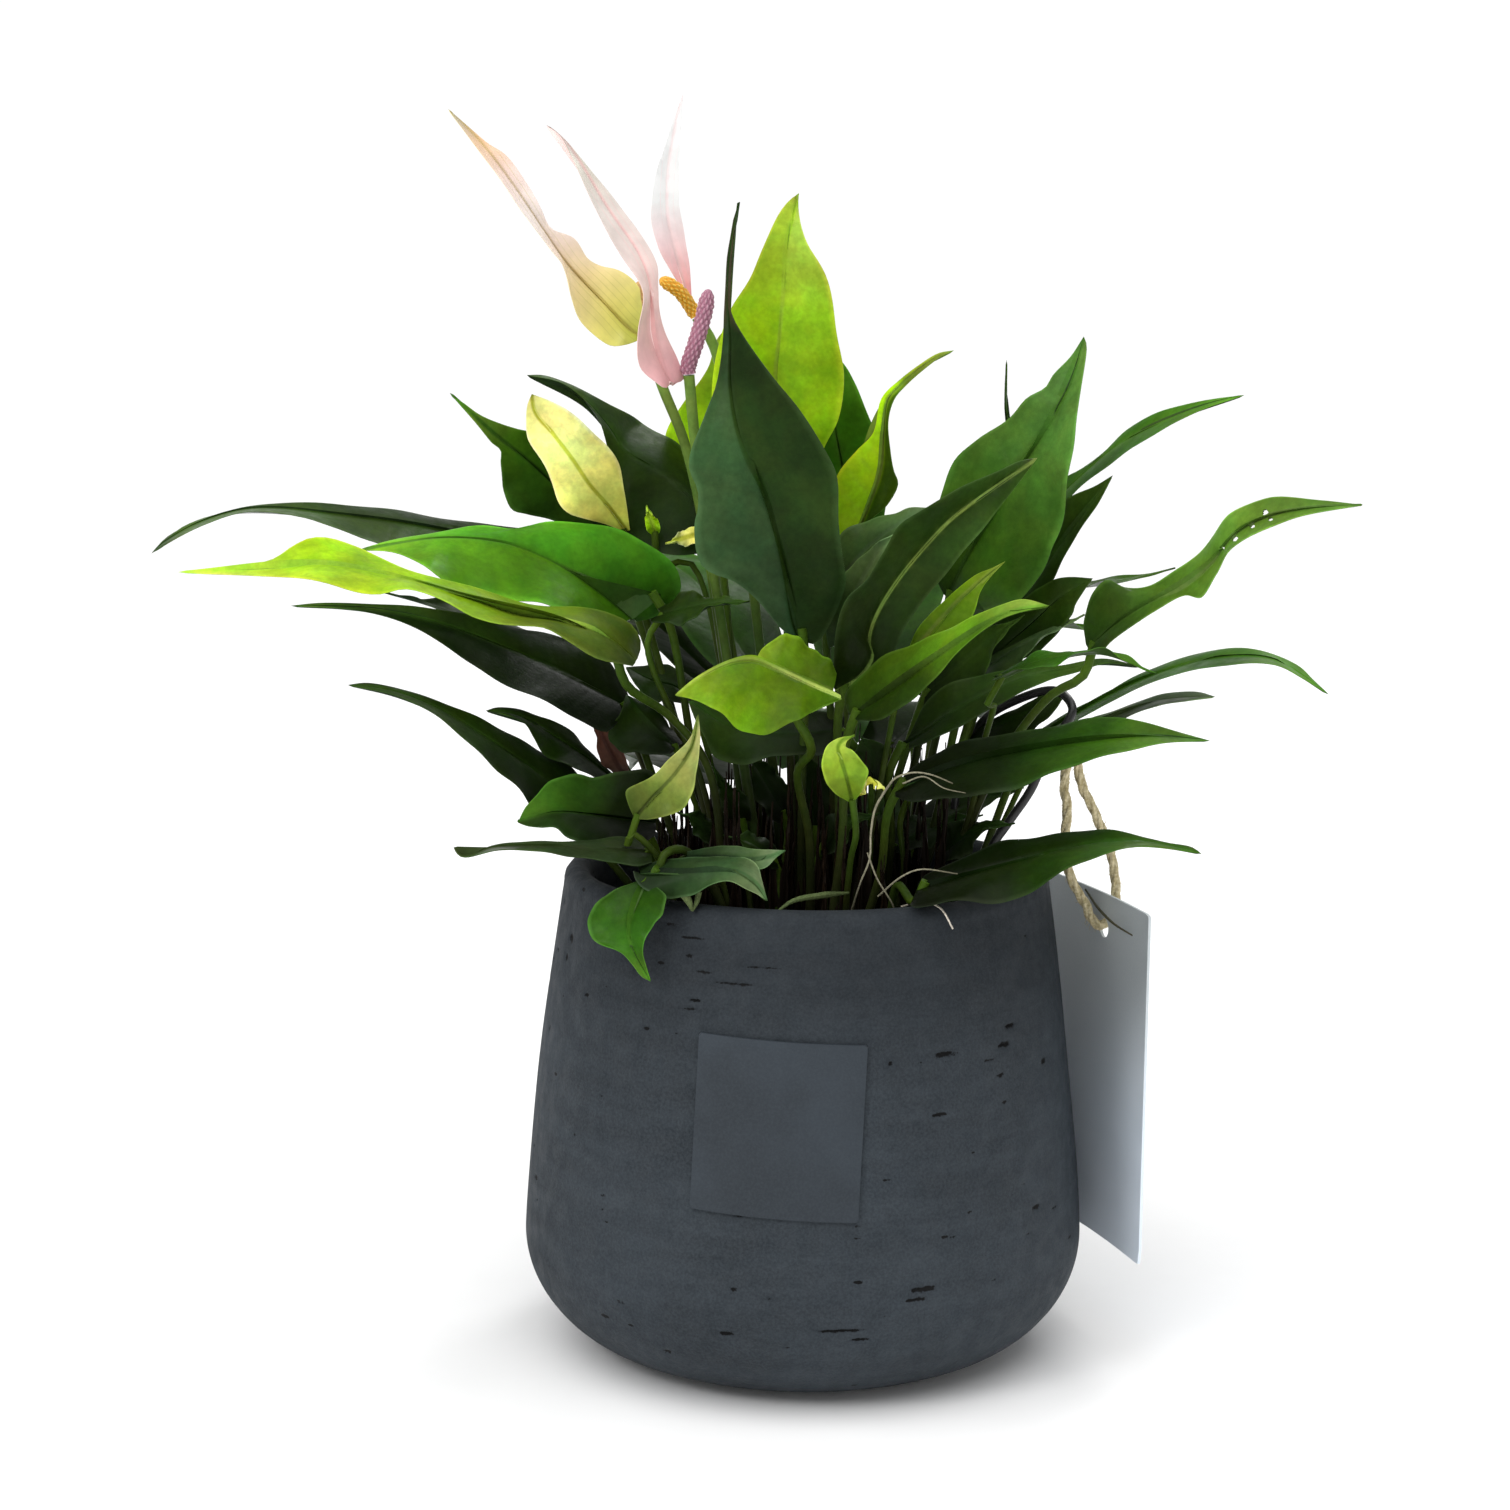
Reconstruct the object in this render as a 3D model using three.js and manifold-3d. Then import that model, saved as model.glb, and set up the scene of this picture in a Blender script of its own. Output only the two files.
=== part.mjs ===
// A lily anthurium in its pot, in millimetres, +Z up.
// The origin is the middle of the pot's flat base. The front of the plant faces -Y.
import * as THREE from 'three';
import { mergeVertices } from 'three/addons/utils/BufferGeometryUtils.js';
import Module from 'manifold-3d';

const wasm = await Module();
wasm.setup();

const gap = 0.3; // between pieces that touch

// Outer pot of pitted fibre cement, widest low down, with a round foot and a narrower rim
const pot = {
  height: 121, baseRadius: 39, bellyRadius: 70, bellyHeight: 29, rimRadius: 60.5, shoulderHeight: 117,
  wall: 7, floor: 9, slices: 36,
};
// Thin plastic pot that the plant came in, standing inside
const growPot = { height: 92, topRadius: 51, baseRadius: 40, wall: 1.4, floor: 1.6, slices: 24 };
const soil = {
  top: 101, radius: 48.5, crown: 2.2, lump: 0.8, slices: 20,
  holeDepth: 13, holeSides: 5, clearance: 0.55, // plain holes that the stalks stand in
};
const sticker = { width: 40, height: 41, middle: [-6, 71], turn: -2.5, thickness: 0.6 };
const tag = { nearX: 83.4, nearY: -21, width: 55, heading: 109, bottom: 25.5, height: 88, thickness: 0.7,
  holeRadius: 2.5, holeDrop: 8.7 };
const stalkRadius = { leaf: 1.5, thin: 1.1, bloom: 1.35 };
const stalkSides = 4;
const stalkSteps = 7;
const holeEdges = 6;
const bladeThickness = 0.7;
const thinHalf = 8; // leaves narrower than this have a thin stalk
const coarseHalf = 12.5; // and those narrower than this have fewer faces

// The plant was measured as it is seen from this eye. A point is given by its place across and up
// in the upright plane through the pot's middle, and by how far back it lies on that line of sight.
const eye = new THREE.Vector3(0, -800, 275);

function at([across, up, back]) {
  const reach = 1 + back / -eye.y;
  return new THREE.Vector3(across * reach, back, eye.z + (up - eye.z) * reach);
}

// Solids

function toSolid(geometry) {
  const bare = geometry.index ? geometry.clone() : geometry;
  for (const name of Object.keys(bare.attributes)) if (name !== 'position') bare.deleteAttribute(name);
  const merged = mergeVertices(bare, 1e-4);
  const mesh = new wasm.Mesh({
    numProp: 3,
    vertProperties: new Float32Array(merged.attributes.position.array),
    triVerts: new Uint32Array(merged.index.array),
  });
  return new wasm.Manifold(mesh);
}

function toGeometry(solid) {
  const mesh = solid.getMesh();
  const geometry = meshOf(mesh.vertProperties, Array.from(mesh.triVerts));
  geometry.computeVertexNormals();
  return geometry;
}

function meshOf(positions, index) {
  const geometry = new THREE.BufferGeometry();
  geometry.setAttribute('position', new THREE.BufferAttribute(new Float32Array(positions), 3));
  geometry.setIndex(index);
  return geometry;
}

// Closes two alike grids of points, the back one first, into a thin sheet with both faces split alike
function sheetGeometry(positions, rows, columns) {
  const index = [];
  const front = rows * columns;
  const vertex = (i, j) => i * columns + j;
  for (let i = 0; i < rows - 1; i++) {
    for (let j = 0; j < columns - 1; j++) {
      const [a, b, c, d] = [vertex(i, j), vertex(i, j + 1), vertex(i + 1, j + 1), vertex(i + 1, j)];
      index.push(front + a, front + b, front + c, front + a, front + c, front + d);
      index.push(a, c, b, a, d, c);
    }
  }
  const rim = [];
  for (let j = 0; j < columns; j++) rim.push(vertex(0, j));
  for (let i = 1; i < rows; i++) rim.push(vertex(i, columns - 1));
  for (let j = columns - 2; j >= 0; j--) rim.push(vertex(rows - 1, j));
  for (let i = rows - 2; i > 0; i--) rim.push(vertex(i, 0));
  rim.forEach((a, k) => {
    const b = rim[(k + 1) % rim.length];
    index.push(a, b, front + b, a, front + b, front + a);
  });
  return meshOf(positions, index);
}

function roundShape(radius, sides) {
  const points = [];
  for (let i = 0; i < sides; i++) {
    const angle = (2 * Math.PI * i) / sides;
    points.push(new THREE.Vector2(radius * Math.cos(angle), radius * Math.sin(angle)));
  }
  return new THREE.Shape(points);
}

function tube(curve, radius, sides, steps) {
  const options = { steps, bevelEnabled: false, extrudePath: curve };
  return new THREE.ExtrudeGeometry(roundShape(radius, sides), options);
}

// Leaves

// A value that a list gives at even steps from base to tip
function along(list, t) {
  if (typeof list === 'number') return list;
  const place = Math.min(t, 0.9999) * (list.length - 1);
  const step = Math.floor(place);
  return THREE.MathUtils.lerp(list[step], list[step + 1], place - step);
}

// Share of the full half width: a round base, a belly low down, and a long narrow drip tip
function outline(t, { drip = 0.16, belly = 0.34, neck = 0.07, hollow = 1.25, base = 0.45 }) {
  const body = 1 - drip;
  const s = t / body;
  if (s >= 1) return THREE.MathUtils.lerp(neck, 0.03, (t - body) / drip);
  if (s < belly) return Math.sqrt(1 - (1 - base ** 2) * (1 - s / belly) ** 2);
  const c = (s - belly) / (1 - belly);
  return neck + (1 - neck) * (1 - c ** 1.7) ** hollow;
}

// The middle surface of a blade. Its rib runs from base to tip. Roll 0 turns the upper face to the eye,
// or to the sky where a leaf says so, and +90 turns the left half away. Fold lifts both halves.
function bladePoint(leaf, rib, t, side) {
  const middle = rib.getPointAt(t);
  const heading = rib.getTangentAt(t);
  const look = leaf.sky ? new THREE.Vector3(0, 0, -1) : middle.clone().sub(eye).normalize();
  const left = heading.clone().cross(look).normalize();
  const away = left.clone().cross(heading).normalize();
  const roll = THREE.MathUtils.degToRad(along(leaf.roll, t));
  const fold = THREE.MathUtils.degToRad(along(leaf.fold ?? 8, t));
  const faceUp = left.clone().multiplyScalar(Math.sin(roll)).addScaledVector(away, -Math.cos(roll));
  const angle = side < 0 ? roll - fold : -roll - fold;
  const out = left.clone().multiplyScalar(side < 0 ? Math.cos(angle) : -Math.cos(angle));
  out.addScaledVector(away, Math.sin(angle));
  const share = Math.abs(side);
  const width = leaf.half * outline(t, leaf);
  const lobe = leaf.half * (leaf.lobe ?? 0.3) * share ** 1.5 * Math.max(0, 1 - t / 0.22) ** 2;
  const wave = (leaf.wave ?? 1.2) * share ** 2 * Math.sin(2 * Math.PI * 1.7 * t + (leaf.phase ?? 0) + side)
    * Math.min(1, 5 * t, 4 * (1 - t));
  return middle.addScaledVector(out, width * share).addScaledVector(heading, -lobe)
    .addScaledVector(faceUp, wave - 0.1 * width * share ** 2);
}

// A closed blade: the middle surface moved half the thickness each way, both faces split alike
function bladeGeometry(leaf, rib) {
  const small = leaf.half < coarseHalf;
  const stations = small ? [0, 0.12, 0.35, 0.62, 0.84, 1] : [0, 0.1, 0.27, 0.46, 0.64, 0.82, 1];
  const sides = small ? [-1, 0, 1] : [-1, -0.5, 0, 0.5, 1];
  const rows = stations.length;
  const columns = sides.length;
  const grid = stations.map((t) => sides.map((side) => bladePoint(leaf, rib, t, side)));
  const positions = [];
  for (const face of [-1, 1]) {
    for (let i = 0; i < rows; i++) {
      for (let j = 0; j < columns; j++) {
        const lengthwise = grid[Math.min(i + 1, rows - 1)][j].clone().sub(grid[Math.max(i - 1, 0)][j]);
        const crosswise = grid[i][Math.min(j + 1, columns - 1)].clone().sub(grid[i][Math.max(j - 1, 0)]);
        const normal = crosswise.cross(lengthwise).normalize();
        const point = grid[i][j].clone().addScaledVector(normal, (face * bladeThickness) / 2);
        positions.push(point.x, point.y, point.z);
      }
    }
  }
  return sheetGeometry(positions, rows, columns);
}

// A stalk rises from its hole in the soil and bends over into the rib of its blade
function stalkCurve(leaf, rib, foot) {
  const end = rib.getPointAt(0.03);
  const heading = rib.getTangentAt(0);
  const reach = end.distanceTo(foot);
  const bend = heading.clone().multiplyScalar(-0.4).add(new THREE.Vector3(0, 0, -0.6)).normalize();
  const points = [
    foot.clone().add(new THREE.Vector3(0, 0, 1 - soil.holeDepth)),
    foot.clone().add(new THREE.Vector3(0, 0, soil.crown + 3.2)),
  ];
  if (leaf.by) points.push(...leaf.by.map(at));
  else points.push(foot.clone().lerp(end, 0.45).add(new THREE.Vector3(0, 0, reach * 0.06)));
  points.push(end.clone().addScaledVector(bend, Math.min(9, reach * 0.2)), end);
  return new THREE.CatmullRomCurve3(points, false, 'centripetal');
}

// A small hole eaten through a blade, along the line of sight
function holeSolid([across, up, radius], back) {
  const middle = at([across, up, back]);
  const sight = middle.clone().sub(eye).normalize();
  const drill = new THREE.CylinderGeometry(radius, radius, 40, holeEdges);
  drill.applyQuaternion(new THREE.Quaternion().setFromUnitVectors(new THREE.Vector3(0, 1, 0), sight));
  return toSolid(drill.translate(middle.x, middle.y, middle.z));
}

function leafSolid(leaf, foot) {
  const rib = new THREE.CatmullRomCurve3(leaf.rib.map(at), false, 'catmullrom', 0.5);
  let blade = toSolid(bladeGeometry(leaf, rib));
  for (const hole of leaf.holes ?? []) blade = blade.subtract(holeSolid(hole, rib.getPointAt(0.6).y));
  const radius = leaf.half < thinHalf ? stalkRadius.thin : stalkRadius.leaf;
  const stalk = toSolid(tube(stalkCurve(leaf, rib, foot), radius, stalkSides, stalkSteps));
  return stalk.add(blade);
}

// rib: base to tip, [across, up, back]. half: widest half width. roll and fold in degrees, base to tip.
// Leaves in one list grow from one shoot and share its foot.
const green = {
  dark: 0x23471d, mid: 0x3c6e22, bright: 0x6f9d1e, lime: 0x8cc21d, cream: 0xd5dd7a, grey: 0x56705c,
};
const bract = 0x6b4a3a;
const shoots = {
  leaf_left_1: [
    { rib: [[-62, 200, 21], [-90, 204.5, 17], [-118, 206.3, 9], [-140, 207.2, 3], [-154, 203.8, -2],
      [-163.5, 196.5, -6]], half: 12, roll: -77, drip: 0.22, foot: [-28, 17], tone: green.dark },
    { rib: [[-60, 172, 30], [-80, 180, 26], [-95, 185, 22], [-107, 188, 18]], half: 8, roll: -70,
      tone: green.dark },
  ],
  leaf_left_2: [
    { rib: [[-37, 188, -1], [-55, 192, -6], [-80, 197, -10], [-100, 199.5, -12], [-112, 198, -14]],
      half: 19, roll: -53, fold: 12, drip: 0.1, belly: 0.26, hollow: 1.5, foot: [-19, -2],
      tone: green.mid },
    { rib: [[-37, 183, -6], [-29, 185, -10], [-22, 186, -12], [-15, 186.5, -13]], half: 6, roll: 60,
      tone: green.dark },
  ],
  leaf_left_3: [
    { rib: [[-46, 172, -30], [-60, 181.5, -40], [-85, 187.5, -47], [-120, 195.3, -47],
      [-157, 192, -48]], half: 14, roll: [-105, -75, -62, -80, -55, -60], tone: green.lime,
      foot: [-20, -13], by: [[-25, 145, -18], [-35, 158, -22]] },
  ],
  leaf_left_4: [
    { rib: [[-44, 160, 8], [-65, 170, 4], [-90, 179.5, 0], [-110, 183.6, -4], [-129, 184, -8]],
      half: 15, roll: -52, belly: 0.28, hollow: 1.5, foot: [-26, 6], tone: green.dark },
  ],
  leaf_left_5: [
    { rib: [[-56, 134, -2], [-66, 142, -8], [-80, 151.5, -14], [-92, 157.8, -18], [-103, 162, -22],
      [-115, 164.5, -26]], half: 11, roll: -58, belly: 0.24, hollow: 1.6, foot: [-38, -3],
      tone: green.dark },
  ],
  leaf_left_6: [
    { rib: [[-47, 141, 10], [-56, 148, 5], [-67, 154.5, 0], [-80.5, 158.5, -6]], half: 8, roll: -55,
      foot: [-33, 6], tone: green.dark },
    { rib: [[-46, 143, 2], [-50, 150, 1], [-53.7, 157.7, 1], [-56.5, 162.5, 2]], half: 3.2, roll: 30,
      tone: bract },
  ],
  leaf_left_7: [
    { rib: [[-40, 130, -16], [-52, 132.5, -24], [-63, 133.3, -30], [-72.5, 131, -34]], half: 14,
      roll: -55, fold: 10, drip: 0.1, foot: [-30, -11], tone: green.mid },
  ],
  leaf_left_8: [
    { rib: [[-39, 124, -38], [-52, 124.5, -47], [-68, 124.3, -53], [-80, 124, -56], [-88.7, 124, -58]],
      half: 9, roll: -75, drip: 0.3, foot: [-27, -24], tone: green.mid, by: [[-33, 120, -32]] },
    { rib: [[-43, 132.5, -42], [-37, 138, -44], [-31.5, 146, -44], [-27.5, 158.3, -42]], half: 6.5,
      roll: 20, fold: 20, drip: 0.28, tone: green.cream, by: [[-38, 123, -40], [-44, 128, -42]] },
  ],
  leaf_front_1: [
    { rib: [[-38, 119.5, -50], [-30, 119.5, -54], [-20, 119.5, -57], [-10, 111.5, -58]], half: 8.5,
      roll: 35, fold: -20, drip: 0.12, lobe: 0.1, foot: [-17, -33], tone: green.grey,
      by: [[-29, 122, -40]] },
    { rib: [[-29, 122, -45], [-22, 121.5, -49], [-13, 121.5, -51], [-5.2, 124.4, -51]], half: 5,
      roll: 20, drip: 0.2, tone: green.grey, by: [[-24, 121, -38]] },
    { rib: [[-41, 117.5, -51], [-44, 111, -54], [-45, 104, -56], [-42, 97, -58], [-39, 90.5, -60]],
      half: 10, roll: -20, fold: 10, drip: 0.12, tone: green.mid,
      by: [[-30, 123.7, -42], [-36, 122.5, -48.5]] },
  ],
  leaf_upper_1: [
    { rib: [[-48, 200, 42], [-60, 211, 40], [-71, 220.5, 35], [-81.5, 230, 29], [-89.2, 236.7, 24]],
      half: 13, roll: -25, belly: 0.25, foot: [-20, 13], tone: green.dark },
  ],
  leaf_upper_2: [
    { rib: [[-46, 203, 13], [-54.7, 214.8, 10], [-63, 227, 9], [-69, 236.6, 11]], half: 9.5, roll: 10,
      fold: 15, drip: 0.03, hollow: 0.8, foot: [-21, 4], tone: green.cream },
  ],
  leaf_upper_3: [
    { rib: [[-24, 206, 18], [-35, 216.4, 21], [-46, 223.5, 23], [-56, 234, 20], [-70.2, 241.2, 12]],
      half: 14, roll: -45, fold: -15, foot: [-12, 9], tone: green.dark },
    { rib: [[-27, 203, 10], [-31, 202, 8], [-36, 200.5, 6]], half: 2.4, roll: -20, tone: green.cream },
    { rib: [[-38.5, 203.3, 12], [-39.7, 206.5, 11], [-40.6, 209.8, 10]], half: 2, roll: 0, fold: 30,
      tone: green.lime, by: [[-20, 160, 12], [-30, 196, 15]] },
  ],
  leaf_upper_4: [
    { rib: [[-22, 196, 34], [-26, 215, 39], [-24, 236, 39], [-21.5, 253, 33]], half: 13, roll: 10,
      foot: [-9, 15], tone: green.lime },
  ],
  leaf_middle_1: [
    { rib: [[-1, 177, -18], [-7.5, 199, -24], [-14.5, 222, -26], [-20.5, 250, -20], [-19, 283, -8]],
      half: 20, roll: [-10, 5, 20, 20], fold: 12, drip: 0.27, belly: 0.42, lobe: 0, base: 0.15,
      foot: [-1, -9], tone: green.dark },
  ],
  leaf_middle_2: [
    { rib: [[-6, 196, 12], [-9, 220, 14], [-8.5, 241, 12], [-7.5, 262, 8], [-4.7, 285, 0]], half: 18,
      roll: [0, 10, 10], fold: 16, drip: 0.05, belly: 0.45, hollow: 0.75, foot: [-3, 5],
      tone: green.lime },
  ],
  leaf_middle_3: [
    { rib: [[12, 190, 30], [9, 212, 34], [5, 232, 33], [1, 250, 28]], half: 13, roll: 10, foot: [5, 14],
      tone: green.dark },
    { rib: [[-2, 186, 50], [-5, 215, 64], [-6, 247, 82]], half: 13, roll: 0, sky: true,
      tone: green.mid },
  ],
  leaf_middle_4: [
    { rib: [[9, 198, 4], [11, 212, 2], [13.5, 228, 0], [21, 240.5, -3], [34.4, 248.3, -6]], half: 12,
      roll: [0, 20, 40], fold: 35, drip: 0.25, foot: [6, 0], tone: green.bright },
  ],
  leaf_middle_5: [
    { rib: [[-1, 157, -38], [-12, 157, -44], [-24, 160, -47], [-33.3, 163, -50]], half: 17, roll: -85,
      fold: 45, drip: 0.08, tone: green.bright, foot: [1, -18],
      by: [[0.5, 128, -24], [-2.6, 144, -30]] },
  ],
  leaf_middle_6: [
    { rib: [[11.4, 137, -44], [9.5, 143, -47], [7.5, 149, -46], [10.5, 153.3, -43]], half: 5.5,
      roll: 10, fold: 25, tone: green.lime, foot: [9, -33], by: [[11.1, 122.6, -40]] },
  ],
  leaf_middle_7: [
    { rib: [[6, 190, -7], [14, 200, -8], [24, 207, -9], [36, 211, -10]], half: 8, roll: 40,
      foot: [6, -8], tone: green.grey },
    { rib: [[8, 176, -12], [11, 188, -14], [17, 199, -15], [24, 206, -15]], half: 7, roll: 30,
      tone: green.grey },
  ],
  leaf_right_1: [
    { rib: [[34, 188, 8], [39.5, 200, 4], [46, 213, 0], [55.5, 228, -2], [66, 252, 2]], half: 19,
      roll: 40, fold: 15, drip: 0.06, belly: 0.48, lobe: 0.1, foot: [20, 8], tone: green.dark },
  ],
  leaf_right_2: [
    { rib: [[8, 165, -20], [15.3, 180, -23], [22.5, 193.5, -25], [34.6, 207.4, -27], [46, 216.5, -26],
      [55.4, 222.5, -22]], half: 14, roll: -20, fold: 35, drip: 0.1, foot: [7, -15], tone: green.dark },
  ],
  leaf_right_3: [
    { rib: [[46, 178, 18], [55, 192, 17], [63, 205, 15], [74, 218.5, 10]], half: 9, roll: 40,
      foot: [27, 6], tone: green.dark },
  ],
  leaf_right_4: [
    { rib: [[50, 200, 36], [62, 213, 34], [74, 225, 28], [86, 231.5, 20], [105.6, 238.3, 10]], half: 8,
      roll: 66, drip: 0.25, foot: [26, 21], tone: green.mid, by: [[38, 150, 31]] },
  ],
  leaf_right_5: [
    { rib: [[69, 176, -20], [78, 184.5, -26], [89, 191.5, -31], [98, 198, -35], [106, 206.5, -40],
      [118, 210.5, -44], [135.5, 212, -48]], half: 10, roll: 55, drip: 0.18, belly: 0.2, wave: 1.8,
      holes: [[111.8, 209.8, 0.7], [113.1, 208.2, 0.6], [108.7, 206.5, 0.7], [104.4, 203.4, 0.9],
        [101.6, 201, 0.6]],
      foot: [33, -7], tone: green.mid, by: [[45, 142, -13], [60, 164, -20]] },
    { rib: [[47, 168.5, -29], [57, 172.5, -31], [72, 175, -35], [86, 169.9, -38]], half: 5, roll: 80,
      tone: green.mid, by: [[42, 140, -14], [44, 153, -21], [46, 162, -26]] },
  ],
  leaf_right_6: [
    { rib: [[52, 150, 12], [64, 159, 10], [80, 168, 6], [101, 174.5, 0], [116, 173.5, -6],
      [129, 165.2, -12]], half: 10, roll: 77, drip: 0.2, foot: [38, 3], tone: green.mid },
    { rib: [[56, 150, 16], [70, 157.5, 13], [84, 162.5, 10], [100.9, 164.3, 4]], half: 6, roll: 80,
      tone: green.dark },
  ],
  leaf_right_7: [
    { rib: [[22, 142, -30], [38, 148, -36], [56, 152, -42], [76, 154.5, -47], [100, 153.3, -52]],
      half: 15, roll: 60, drip: 0.14, foot: [14, -20], tone: green.mid },
  ],
  leaf_right_8: [
    { rib: [[28, 116.5, -44], [42, 120, -48], [60, 124.5, -50], [80, 128, -50], [98.8, 124.9, -48]],
      half: 13, roll: 53, drip: 0.16, lobe: 0.1, foot: [20, -30], tone: green.mid,
      by: [[23, 116, -38]] },
  ],
  leaf_right_9: [
    { rib: [[11, 159, -34], [20, 166.5, -40], [32, 175, -45], [45, 183, -48], [59.3, 186.3, -50]],
      half: 13, roll: 53, fold: 0, drip: 0.14, foot: [6, -24], tone: green.bright },
  ],
  leaf_right_10: [
    { rib: [[23, 161, 5], [34, 169, 2], [45, 178, -2], [53.1, 184, -6]], half: 10, roll: 30,
      foot: [12, 5], tone: green.dark },
  ],
  leaf_right_11: [
    { rib: [[24, 172, -16], [33, 182, -18], [41, 190, -18], [48.2, 197.2, -16]], half: 7, roll: 10,
      foot: [11, -13], tone: green.bright },
  ],
  leaf_right_12: [
    { rib: [[44, 172, 10], [54, 181, 8], [63, 189, 5], [69.8, 193.2, 2]], half: 8, roll: 20,
      foot: [26, 2], tone: green.dark },
    { rib: [[40, 168, 9], [52, 176, 6], [68, 184.3, 1]], half: 8, roll: 60, tone: green.grey },
  ],
  leaf_right_13: [
    { rib: [[22, 151, -11], [36, 160, -12], [54, 168.5, -13], [70, 172, -13], [82.2, 171.4, -13]],
      half: 10, roll: 50, foot: [19, 1], tone: green.dark },
  ],
  leaf_right_14: [
    { rib: [[40, 194, 31], [43.5, 208, 36], [48, 224, 36], [47.5, 236, 32], [47.3, 246, 28]], half: 8,
      roll: 0, drip: 0.35, foot: [24, 12], tone: green.dark },
  ],
  leaf_back_1: [
    { rib: [[-13.4, 169.5, 43], [-32.5, 194.3, 70], [-58.4, 196.2, 110]], half: 17, roll: 0, sky: true,
      foot: [-10, 22], tone: green.mid },
    { rib: [[-22, 166, 46], [-44, 184, 64], [-72, 191, 96]], half: 13, roll: 0, sky: true,
      tone: green.dark },
  ],
  leaf_back_2: [
    { rib: [[13, 172, 40], [19, 198, 72], [24, 200, 120]], half: 18, roll: 0, sky: true, foot: [5, 23],
      tone: green.mid },
  ],
  leaf_back_3: [
    { rib: [[33, 172, 42], [52, 188, 65], [76, 192.5, 87], [90, 196, 98]], half: 12.6, roll: 0,
      sky: true, foot: [25, 17], tone: green.dark },
    { rib: [[28, 164, 46], [48, 181, 58], [76.9, 180, 80]], half: 12, roll: 0, sky: true,
      tone: green.mid },
  ],
  leaf_back_4: [
    { rib: [[0, 146.4, 44], [3.7, 160, 74], [8.8, 149.6, 116]], half: 14, roll: 0, sky: true,
      foot: [-2, 31], tone: green.mid },
    { rib: [[-22, 142, 38], [-41, 149.4, 64], [-44.5, 144, 102]], half: 13, roll: 0, sky: true,
      tone: green.dark },
  ],
  leaf_back_5: [
    { rib: [[20, 151, 56], [34, 161.4, 80], [50, 155, 110]], half: 14, roll: 0, sky: true,
      foot: [12, 30], tone: green.dark },
  ],
};

// Blooms. The spathe is the pointed petal-like leaf, and the spadix the knobbly spike in front of it.
// The spathe stands against the side of the stalk's head, and the spadix sits on the head.
const blooms = [
  {
    spathe: { rib: [[-41.8, 250.4, 7.4], [-50.8, 258.4, 3], [-61.3, 269.5, -1], [-70.5, 282, -3],
      [-80, 294.5, -2], [-89.3, 304.6, 2]], half: 11, roll: [-35, -40, -45, -50], fold: 28, drip: 0.5,
      belly: 0.3, neck: 0.28, hollow: 1, wave: 0.6, lobe: 0.2 },
    spadix: { path: [[-41, 258, 13], [-43, 264, 14]], radius: 1.6, tone: 0xe0b070 },
    stalk: [[-24, 190, 0], [-31, 224, 4], [-37, 239, 8], [-40.6, 249.5, 9.6]],
    foot: [-13, 3], tone: 0xe9dca6,
  },
  {
    spathe: { rib: [[-35, 240, -9.4], [-38.2, 250, -12], [-40.2, 262, -14], [-47, 275, -13],
      [-55.5, 288, -10], [-65.4, 301, -6]], half: 7, roll: [-50, -45, -45, -50], fold: 20, drip: 0.5,
      belly: 0.3, neck: 0.35, hollow: 1, wave: 0.4, lobe: 0.1 },
    spadix: { path: [[-28.9, 249, -10], [-26.9, 256, -11], [-25.7, 262.3, -12]],
      radius: 1.9, tone: 0x93566a },
    stalk: [[-25, 200, -4], [-28.8, 226, -7], [-30.4, 241.6, -8]],
    foot: [-10, -4], tone: 0xf2d6d2,
  },
  {
    spathe: { rib: [[-30.4, 257.4, 22.3], [-33.6, 268, 21.5], [-35.8, 280, 21], [-35.2, 296, 22],
      [-32.3, 310, 25]], half: 6.5, roll: [-40, -45, -45], fold: 15, drip: 0.4, neck: 0.3, wave: 0.4,
      lobe: 0.1 },
    spadix: { path: [[-33, 261.8, 16], [-37.6, 264.7, 13]], radius: 1.65, tone: 0xe58a2e },
    stalk: [[-20, 230, 20], [-24.5, 249, 20], [-28.6, 255.6, 19.6]],
    foot: [-5, 9], tone: 0xf6e4e6,
  },
];
const spadixRings = 9;
const spadixSides = 8;
const knobs = [0.07, -0.05]; // how far the knobs stand out and lie in, as a share of the radius

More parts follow.
